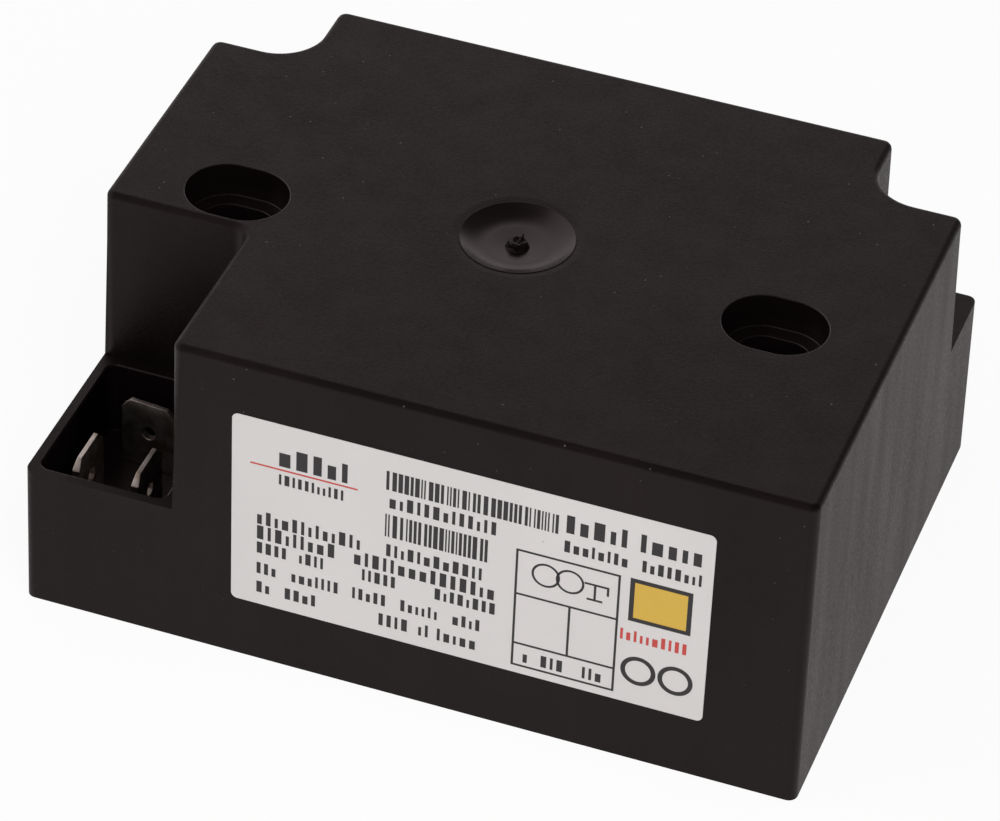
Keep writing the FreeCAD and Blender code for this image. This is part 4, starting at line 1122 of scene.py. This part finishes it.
def speck_group():
    """Scattered round specks of dust: a mask."""
    tree, source, sink = new_group(
        "dust_specks",
        [
            ("Vector", "NodeSocketVector", None),
            ("Scale", "NodeSocketFloat", 450.0),
            ("Share", "NodeSocketFloat", 0.12),
            ("Radius", "NodeSocketFloat", 0.06),
        ],
        [("Mask", "NodeSocketFloat")],
    )
    cells = add_node(tree, "TexVoronoi", Vector=source.outputs["Vector"], Scale=source.outputs["Scale"])
    bright = tree.nodes.new("ShaderNodeSeparateColor")
    tree.links.new(cells.outputs["Color"], bright.inputs[0])
    chosen = maths(tree, "LESS_THAN", bright.outputs[0], source.outputs["Share"])
    radius = maths(tree, "MULTIPLY", source.outputs["Radius"], bright.outputs[1])
    inside = maths(tree, "LESS_THAN", cells.outputs["Distance"], radius)
    tree.links.new(maths(tree, "MULTIPLY", chosen, inside), sink.inputs["Mask"])
    return tree


def streak_group():
    """Lines along one axis, as drawn metal and the flow of a moulding leave."""
    tree, source, sink = new_group(
        "drawn_streaks",
        [
            ("Vector", "NodeSocketVector", None),
            ("Along", "NodeSocketVector", (1.0, 1.0, 0.04)),
            ("Scale", "NodeSocketFloat", 5000.0),
        ],
        [("Lines", "NodeSocketFloat"), ("Stain", "NodeSocketFloat")],
    )
    squeeze = add_node(tree, "VectorMath", {"operation": "MULTIPLY"})
    tree.links.new(source.outputs["Vector"], squeeze.inputs[0])
    tree.links.new(source.outputs["Along"], squeeze.inputs[1])
    lines = add_node(tree, "TexNoise", Vector=squeeze.outputs[0], Scale=source.outputs["Scale"], Detail=3.0)
    stain_scale = maths(tree, "DIVIDE", source.outputs["Scale"], 9.0)
    stain = add_node(tree, "TexNoise", Vector=source.outputs["Vector"], Scale=stain_scale, Detail=4.0)
    tree.links.new(lines.outputs[0], sink.inputs["Lines"])
    tree.links.new(spread_of(tree, stain.outputs[0], 0.42, 0.66, 0.0, 1.0), sink.inputs["Stain"])
    return tree


def turns_group():
    """Side by side turns of wire round the X axis, with a mask for painted shade in the grooves between
    turns.
    """
    tree, source, sink = new_group(
        "wire_turns",
        [("Vector", "NodeSocketVector", None), ("Scale", "NodeSocketFloat", 1600.0)],
        [("Height", "NodeSocketFloat"), ("Gap", "NodeSocketFloat")],
    )
    bands = add_node(
        tree,
        "TexWave",
        {"wave_type": "BANDS", "bands_direction": "X", "wave_profile": "SIN"},
        Vector=source.outputs["Vector"],
        Scale=source.outputs["Scale"],
        Distortion=0.6,
        Detail=1.0,
    )
    tree.links.new(bands.outputs["Fac"], sink.inputs["Height"])
    # Painted shade: this mask is 1 in the groove between two turns, where shade falls
    tree.links.new(spread_of(tree, bands.outputs["Fac"], 0.0, 0.3, 1.0, 0.0), sink.inputs["Gap"])
    return tree


class Finish:
    """Material in the making: its tree, its Object coordinates and its shader."""

    def __init__(self, name, groups):
        self.material = bpy.data.materials.new(FINISH_NAME.format(name))
        self.material.use_nodes = True
        self.tree = self.material.node_tree
        self.shader = self.tree.nodes["Principled BSDF"]
        self.vector = self.tree.nodes.new("ShaderNodeTexCoord").outputs["Object"]
        self.groups = groups

    def group(self, name, **values):
        """Shared group, fed with Object coordinates and values of its own, as its outputs."""
        node = self.tree.nodes.new("ShaderNodeGroup")
        node.node_tree = self.groups[name]
        self.tree.links.new(self.vector, node.inputs["Vector"])
        for socket, value in values.items():
            node.inputs[socket].default_value = value
        return node.outputs

    def put(self, socket, value):
        """Set or link a socket of the shader."""
        if isinstance(value, bpy.types.NodeSocket):
            self.tree.links.new(value, self.shader.inputs[socket])
        else:
            self.shader.inputs[socket].default_value = value

    def bump(self, height, distance, strength):
        """Relief from a height."""
        node = add_node(self.tree, "Bump", Strength=strength, Distance=distance, Height=height)
        self.put("Normal", node.outputs[0])

    def uneven(self, value, low, high):
        """Roughness between two values."""
        self.put("Roughness", spread_of(self.tree, value, 0.2, 0.8, low, high))


def moulded_finish(name, groups, colours, dark, light, roughness):
    """Matt moulded plastic: fine grain, slow drift of tone, faint flow marks and a few dust specks."""
    finish = Finish(name, groups)
    grain = finish.group("surface_grain", Scale=3000.0)
    dust = finish.group("dust_specks", Scale=900.0, Share=0.28, Radius=0.11)
    mottle = maths(finish.tree, "MULTIPLY", grain["Drift"], grain["Grain"])
    mottle = spread_of(finish.tree, mottle, 0.1, 0.5, 0.0, 1.0)
    body = blend_colours(finish.tree, mottle, dark, light)
    finish.put("Base Color", blend_colours(finish.tree, dust["Mask"], body, colours.speck))
    flow = finish.group("drawn_streaks", Along=(1.0, 1.0, 0.12), Scale=240.0)
    grained = spread_of(finish.tree, grain["Grain"], 0.2, 0.8, roughness - 0.1, roughness + 0.12)
    flowed = spread_of(finish.tree, flow["Lines"], 0.35, 0.65, -0.03, 0.03)
    finish.put("Roughness", maths(finish.tree, "ADD", grained, flowed))
    finish.put("Specular IOR Level", colours.case_gloss)
    finish.put("Specular Tint", (*colours.case_sheen, 1))
    finish.bump(grain["Grain"], 0.03 * MM, 0.7)


def polished_finish(name, groups, colours):
    """The case's plastic where a polished core shaped it."""
    finish = Finish(name, groups)
    grain = finish.group("surface_grain", Scale=3000.0)
    body = blend_colours(finish.tree, grain["Drift"], colours.case, colours.case_worn)
    finish.put("Base Color", body)
    finish.uneven(grain["Grain"], colours.core_roughness - 0.05, colours.core_roughness + 0.05)
    finish.put("Specular IOR Level", colours.core_gloss)
    finish.put("Specular Tint", (*colours.case_sheen, 1))
    finish.bump(grain["Grain"], 0.01 * MM, 0.5)


def broken_finish(name, groups, colours):
    """Shiny broken plastic of the sprue."""
    finish = Finish(name, groups)
    grain = finish.group("surface_grain", Scale=2600.0)
    body = blend_colours(finish.tree, grain["Drift"], colours.case, colours.case_worn)
    finish.put("Base Color", body)
    finish.uneven(grain["Grain"], 0.05, 0.14)
    finish.put("Specular IOR Level", 0.14)
    finish.put("Specular Tint", (*colours.case_sheen, 1))
    finish.bump(grain["Drift"], 0.04 * MM, 0.5)


def plain_finish(name, groups, dark, light, roughness):
    """Even technical surface with grain and drift, for ferrite, laminate, coatings and the like."""
    finish = Finish(name, groups)
    grain = finish.group("surface_grain", Scale=2500.0)
    finish.put("Base Color", blend_colours(finish.tree, grain["Drift"], dark, light))
    finish.uneven(grain["Grain"], roughness - 0.06, roughness + 0.06)
    finish.bump(grain["Grain"], 0.01 * MM, 0.5)


def metal_finish(name, groups, clean, stained, roughness, along):
    """Metal with drawn lines and faint stains."""
    finish = Finish(name, groups)
    lines = finish.group("drawn_streaks", Along=along, Scale=5200.0)
    finish.put("Base Color", blend_colours(finish.tree, lines["Stain"], clean, stained))
    finish.uneven(lines["Lines"], roughness - 0.08, roughness + 0.1)
    finish.put("Metallic", 1.0)
    finish.bump(lines["Lines"], 0.015 * MM, 0.6)


def winding_finish(name, groups, dark, light):
    """Enamelled wire laid turn by turn, with painted shade darkening the grooves between turns."""
    finish = Finish(name, groups)
    wire = finish.group("wire_turns", Scale=800.0)
    # The grooves between turns take the dark colour, which is painted shade
    finish.put("Base Color", blend_colours(finish.tree, wire["Gap"], light, dark))
    finish.uneven(wire["Height"], 0.25, 0.4)
    finish.bump(wire["Height"], 0.08 * MM, 0.8)


def ink_finish(name, groups, colour):
    """Printed ink that lets a little of the film through."""
    finish = Finish(name, groups)
    grain = finish.group("surface_grain", Scale=9000.0)
    faded = [min(1.0, 1.25 * part + 0.012) for part in colour]
    finish.put("Base Color", blend_colours(finish.tree, grain["Grain"], colour, faded))
    finish.uneven(grain["Grain"], 0.42, 0.55)
    finish.put("Specular IOR Level", 0.35)
    finish.bump(grain["Grain"], 0.002 * MM, 0.4)


def film_finish(name, groups, colours):
    """White coated film: nearly even, faintly mottled, with a few specks."""
    finish = Finish(name, groups)
    grain = finish.group("surface_grain", Scale=2400.0)
    dust = finish.group("dust_specks", Scale=500.0, Share=0.1, Radius=0.05)
    shade = [0.965 * part for part in colours.film]
    body = blend_colours(finish.tree, grain["Drift"], colours.film, shade)
    finish.put("Base Color", blend_colours(finish.tree, dust["Mask"], body, (0.35, 0.33, 0.3)))
    finish.uneven(grain["Grain"], 0.36, 0.46)
    finish.put("Specular IOR Level", 0.4)
    finish.bump(grain["Grain"], 0.004 * MM, 0.4)


def resin_finish(name, groups, colours):
    """Poured resin: smooth, with soft waves and a few dust specks."""
    finish = Finish(name, groups)
    grain = finish.group("surface_grain", Scale=1500.0)
    dust = finish.group("dust_specks", Scale=300.0, Share=0.15, Radius=0.06)
    light = [1.5 * part for part in colours.resin]
    body = blend_colours(finish.tree, grain["Drift"], colours.resin, light)
    finish.put("Base Color", blend_colours(finish.tree, dust["Mask"], body, colours.speck))
    finish.uneven(grain["Drift"], 0.18, 0.3)
    finish.bump(grain["Drift"], 0.05 * MM, 0.5)


def make_materials(colours):
    """Every finish of the object. Most have the name of their slot."""
    groups = {
        "surface_grain": grain_group(),
        "dust_specks": speck_group(),
        "drawn_streaks": streak_group(),
        "wire_turns": turns_group(),
    }
    tin_stain = [part * wide for part, wide in zip(colours.tin, (0.62, 0.56, 0.50))]
    brass_stain = [0.7 * part for part in colours.brass]
    polished_finish("case_polished", groups, colours)
    moulded = (
        ("case_black", colours.case, colours.case_worn, colours.case_roughness),
        ("bobbin_plastic", (0.20, 0.19, 0.17), (0.24, 0.23, 0.21), 0.45),
        ("film_capacitor", (0.36, 0.28, 0.06), (0.42, 0.33, 0.08), 0.4),
        ("epoxy_black", (0.016, 0.016, 0.017), (0.024, 0.024, 0.025), 0.5),
    )
    for name, dark, light, rough in moulded:
        moulded_finish(name, groups, colours, dark, light, rough)
    plain = (
        ("laminate", (0.30, 0.20, 0.07), (0.36, 0.25, 0.09), 0.45),
        ("ferrite", (0.030, 0.030, 0.032), (0.05, 0.05, 0.052), 0.6),
        ("shim", (0.55, 0.45, 0.22), (0.6, 0.5, 0.26), 0.5),
        ("hv_insulation", (0.45, 0.05, 0.04), (0.5, 0.07, 0.05), 0.4),
        ("varistor_coating", (0.03, 0.08, 0.28), (0.05, 0.11, 0.34), 0.35),
        ("resistor_cement", (0.5, 0.48, 0.43), (0.58, 0.56, 0.5), 0.75),
    )
    for name, dark, light, rough in plain:
        plain_finish(name, groups, dark, light, rough)
    upright = (1.0, 1.0, 0.05)
    metals = (
        ("tinned_blade", colours.tin, tin_stain, colours.tin_roughness, upright),
        ("tinned_wire", (0.6, 0.58, 0.55), (0.42, 0.4, 0.37), 0.3, upright),
        ("pin_brass", colours.brass, brass_stain, 0.28, (0.2, 0.2, 1.0)),
    )
    for name, clean, stained, rough, along in metals:
        metal_finish(name, groups, clean, stained, rough, along)
    for name in ("ink_dark", "ink_red", "ink_yellow"):
        ink_finish(name, groups, getattr(colours, name))
    broken_finish("broken_black", groups, colours)
    resin_finish("resin", groups, colours)
    film_finish("label_film", groups, colours)
    # The winding's first colour is the painted shade in the grooves between turns
    winding_finish("winding", groups, (0.10, 0.03, 0.01), (0.42, 0.15, 0.05))


def material(context, name):
    """A finish, made with all the others when the first one is asked for."""
    wanted = FINISH_NAME.format(name)
    if wanted not in bpy.data.materials:
        make_materials(context.scene.transformer_colours)
    return bpy.data.materials[wanted]


def place_piece(piece, slot, *nodes):
    """Put a piece under the root body and hide the nodes that it stands for. The slot is not used."""
    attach(piece, "root")
    if nodes:
        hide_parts(*nodes)


def finish_piece(context, piece, finish, slot, *nodes):
    """Give a piece its material and place it in the model."""
    piece.data.materials.clear()
    piece.data.materials.append(material(context, finish))
    place_piece(piece, slot, *nodes)


# Studio


def white_rays(tree):
    """Mask of the rays that see the background as white: straight, mirrored or through glass."""
    rays = tree.nodes.new("ShaderNodeLightPath")
    seen = maths(tree, "ADD", rays.outputs["Is Camera Ray"], rays.outputs["Is Glossy Ray"])
    seen = maths(tree, "ADD", seen, rays.outputs["Is Transmission Ray"])
    return maths(tree, "MINIMUM", seen, 1.0)


def seen_colour(tree, studio):
    """Colour of the surroundings: white, and a little dimmer and warmer where they are mirrored."""
    mirrored = tree.nodes.new("ShaderNodeLightPath").outputs["Is Glossy Ray"]
    return blend_colours(tree, mirrored, (1, 1, 1), studio.mirror_tint)


def add_floor(studio):
    """Plain white floor that keeps a faint shadow."""
    bpy.ops.object.select_all(action="DESELECT")
    bpy.ops.mesh.primitive_grid_add(
        x_subdivisions=8, y_subdivisions=8, size=studio.floor_size, location=(0, 0, -FLOOR_DROP)
    )
    floor = named("floor")
    apply_place(floor)
    paint = bpy.data.materials.new("floor_white")
    paint.use_nodes = True
    tree = paint.node_tree
    tree.nodes.remove(tree.nodes["Principled BSDF"])
    matt = add_node(tree, "BsdfDiffuse", Color=FLOOR_COLOUR)
    glow = add_node(tree, "Emission", Color=seen_colour(tree, studio), Strength=1.0)
    mirrored = tree.nodes.new("ShaderNodeLightPath").outputs["Is Glossy Ray"]
    amount = maths(tree, "MULTIPLY", white_rays(tree), studio.floor_glow)
    less = maths(tree, "MULTIPLY", mirrored, studio.mirror_glow - studio.floor_glow)
    amount = maths(tree, "ADD", amount, less)
    mix = tree.nodes.new("ShaderNodeMixShader")
    tree.links.new(amount, mix.inputs[0])
    tree.links.new(matt.outputs[0], mix.inputs[1])
    tree.links.new(glow.outputs[0], mix.inputs[2])
    tree.links.new(mix.outputs[0], tree.nodes["Material Output"].inputs["Surface"])
    floor.data.materials.append(paint)
    floor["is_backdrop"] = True


def area_of_sky(tree, side, start, end, outside, inside):
    """Level of a round area of the surroundings, which blends from its start turn to its end turn."""
    towards = tree.nodes.new("ShaderNodeVectorMath")
    towards.operation = "DOT_PRODUCT"
    tree.links.new(tree.nodes.new("ShaderNodeTexCoord").outputs["Generated"], towards.inputs[0])
    towards.inputs[1].default_value = Vector(side).normalized()
    return spread_of(tree, towards.outputs["Value"], math.cos(start), math.cos(end), outside, inside)


def set_world(studio):
    """Surroundings: an even level as light, and in mirrors white with a dark side and a soft box."""
    world = bpy.data.worlds.new("studio")
    bpy.context.scene.world = world
    world.use_nodes = True
    tree = world.node_tree
    shade = area_of_sky(tree, studio.shade_side, studio.shade_start, studio.shade_end, 1.0, studio.shade)
    box = area_of_sky(tree, studio.box_side, studio.box_start, studio.box_end, 0.0, studio.box)
    mirrored = maths(tree, "MAXIMUM", shade, box)
    straight = tree.nodes.new("ShaderNodeLightPath").outputs["Is Camera Ray"]
    seen = maths(tree, "SUBTRACT", maths(tree, "MAXIMUM", mirrored, straight), studio.sky)
    strength = maths(tree, "MULTIPLY_ADD", seen, white_rays(tree), studio.sky)
    tree.links.new(seen_colour(tree, studio), tree.nodes["Background"].inputs["Color"])
    tree.links.new(strength, tree.nodes["Background"].inputs["Strength"])


def add_lamp(name, place, power):
    """Square soft lamp that points at the object and isn't mirrored in it."""
    bpy.ops.object.light_add(type="AREA", location=place)
    lamp = bpy.context.active_object
    lamp.name = name
    lamp.data.shape = "SQUARE"
    lamp.data.size = LAMP_SIDE
    lamp.data.energy = power
    lamp.visible_glossy = False
    lamp.rotation_mode = "QUATERNION"
    lamp.rotation_quaternion = (Vector(LAMP_TARGET) - Vector(place)).to_track_quat("-Z", "Y")


def add_camera(studio):
    """Camera at the photograph's place and turn."""
    azimuth, elevation, roll = studio.camera_azimuth, studio.camera_elevation, studio.camera_roll
    level_back = Vector((math.sin(azimuth), -math.cos(azimuth), 0))
    back = level_back * math.cos(elevation) + Vector((0, 0, math.sin(elevation)))
    right = Vector((math.cos(azimuth), math.sin(azimuth), 0))
    up = back.cross(right)
    across = math.cos(roll) * right + math.sin(roll) * up
    upwards = -math.sin(roll) * right + math.cos(roll) * up
    bpy.ops.object.camera_add(location=studio.camera_place)
    camera = bpy.context.active_object
    camera.name = "camera"
    camera.rotation_mode = "QUATERNION"
    camera.rotation_quaternion = Matrix((across, upwards, back)).transposed().to_quaternion()
    camera.data.sensor_width = SENSOR_WIDTH
    camera.data.lens = studio.camera_lens
    camera.data.clip_start = CLIP_START
    camera.data.clip_end = CLIP_END
    bpy.context.scene.camera = camera


# Operators


class AddCase(bpy.types.Operator):
    """Model the moulded case with its bay, steps, wells, screw slots and gate dish"""

    bl_idname = "transformer.add_case"
    bl_label = "Case"

    def execute(self, context):
        sizes = context.scene.transformer_case
        levels = (sizes.bay_rim, sizes.step_height, sizes.height)
        case = add_stepped_block("case", sizes, 0, levels, 0, sizes.bay_round, sizes.step_round)
        case.data.materials.clear()
        case.data.materials.append(material(context, "case_black"))
        round_block(case, sizes)
        cut(case, add_cavity(sizes))
        cut_bay_pocket(case, sizes)
        cut_blade_passages(case, sizes, context.scene.transformer_terminals)
        cut_screw_slots(case, sizes)
        cut_wells(case, sizes, context.scene.transformer_terminals)
        add_dish_ridge(case, sizes)
        cut_gate_dish(case, sizes)
        smooth(case)
        place_piece(case, "case_black", "housing")
        return {"FINISHED"}


class AddSprueNub(bpy.types.Operator):
    """Model the broken sprue in the gate dish"""

    bl_idname = "transformer.add_sprue_nub"
    bl_label = "Sprue nub"

    def execute(self, context):
        nub = add_sprue_nub(context.scene.transformer_case)
        smooth(nub, 60 * DEGREE)
        finish_piece(context, nub, "broken_black", "case_black")
        return {"FINISHED"}


class AddLabel(bpy.types.Operator):
    """Model the label film and its plain print"""

    bl_idname = "transformer.add_label"
    bl_label = "Label"

    def execute(self, context):
        case = context.scene.transformer_case
        label = context.scene.transformer_label
        finish_piece(context, add_film(case, label), "label_film", "label_film", "rating_label")
        finish_piece(context, print_dark(case, label), "ink_dark", "label_film")
        finish_piece(context, print_red(case, label), "ink_red", "label_film")
        finish_piece(context, print_yellow(case, label), "ink_yellow", "label_film")
        return {"FINISHED"}


class AddBlades(bpy.types.Operator):
    """Model one blade terminal and copy it to its three places"""

    bl_idname = "transformer.add_blades"
    bl_label = "Blade terminals"

    def execute(self, context):
        pattern = add_blade(context.scene.transformer_case, context.scene.transformer_terminals)
        for name, (node, angle) in BLADES.items():
            blade = copy_of(pattern, name)
            blade.rotation_euler = (0, 0, angle * DEGREE)
            blade.location = (*axis_of(node), 0)
            apply_place(blade)
            finish_piece(context, blade, "tinned_blade", "tinned_blade", node)
        bpy.data.objects.remove(pattern)
        return {"FINISHED"}


class AddPins(bpy.types.Operator):
    """Model the two high voltage plug pins"""

    bl_idname = "transformer.add_pins"
    bl_label = "Plug pins"

    def execute(self, context):
        for name, node in PINS.items():
            pin = add_pin(context.scene.transformer_case, context.scene.transformer_terminals, name, node)
            finish_piece(context, pin, "pin_brass", "pin_brass", node)
        return {"FINISHED"}


class FinishInnerParts(bpy.types.Operator):
    """Give the parts that keep their solids the finish of their slot"""

    bl_idname = "transformer.finish_inner_parts"
    bl_label = "Inner parts"

    def execute(self, context):
        slots = {row["node"]: row["material_slot"] for row in frame["record"]["subparts"]}
        for name, node in frame["nodes"].items():
            if node.hide_render:
                continue
            node.data.materials.clear()
            node.data.materials.append(material(context, slots[name]))
        return {"FINISHED"}


class AddStudio(bpy.types.Operator):
    """Set up the floor, the surroundings, the lamps and the camera"""

    bl_idname = "transformer.add_studio"
    bl_label = "Studio"

    def execute(self, context):
        studio = context.scene.transformer_studio
        add_floor(studio)
        set_world(studio)
        add_lamp("key", KEY_PLACE, studio.key_power)
        add_lamp("fill", FILL_PLACE, studio.fill_power)
        add_camera(studio)
        context.scene.view_settings.view_transform = "Standard"
        return {"FINISHED"}


OPERATORS = (AddCase, AddSprueNub, AddLabel, AddBlades, AddPins, FinishInnerParts, AddStudio)
SETTINGS = {
    "transformer_case": CaseSizes,
    "transformer_label": LabelSizes,
    "transformer_terminals": TerminalSizes,
    "transformer_colours": FinishColours,
    "transformer_studio": StudioSettings,
}


class TransformerPanel(bpy.types.Panel):
    """Buttons and sizes of the transformer"""

    bl_idname = "VIEW3D_PT_transformer"
    bl_label = "Ignition transformer"
    bl_space_type = "VIEW_3D"
    bl_region_type = "UI"
    bl_category = "Transformer"

    def draw(self, context):
        for operator in OPERATORS:
            self.layout.operator(operator.bl_idname)
        for name, group in SETTINGS.items():
            box = self.layout.box()
            box.label(text=group.__doc__)
            for field in group.__annotations__:
                box.prop(getattr(context.scene, name), field)


def register():
    """Add the classes and the settings to Blender."""
    for group in (*SETTINGS.values(), *OPERATORS, TransformerPanel):
        bpy.utils.register_class(group)
    for name, group in SETTINGS.items():
        setattr(bpy.types.Scene, name, PointerProperty(type=group))


def unregister():
    """Take the classes and the settings out again."""
    for name in SETTINGS:
        delattr(bpy.types.Scene, name)
    for group in (TransformerPanel, *OPERATORS, *SETTINGS.values()):
        bpy.utils.unregister_class(group)


def corners():
    """Lowest and highest corner of what shows, as plain lists."""
    return [list(corner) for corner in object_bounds()]


def main():
    """Build every piece and the studio."""
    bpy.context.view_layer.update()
    register()
    bpy.ops.transformer.add_case()
    bpy.ops.transformer.add_sprue_nub()
    bpy.ops.transformer.add_label()
    bpy.ops.transformer.add_blades()
    bpy.ops.transformer.add_pins()
    bpy.ops.transformer.finish_inner_parts()
    bpy.ops.transformer.add_studio()
    bpy.context.view_layer.update()


if __name__ == "__main__":
    main()
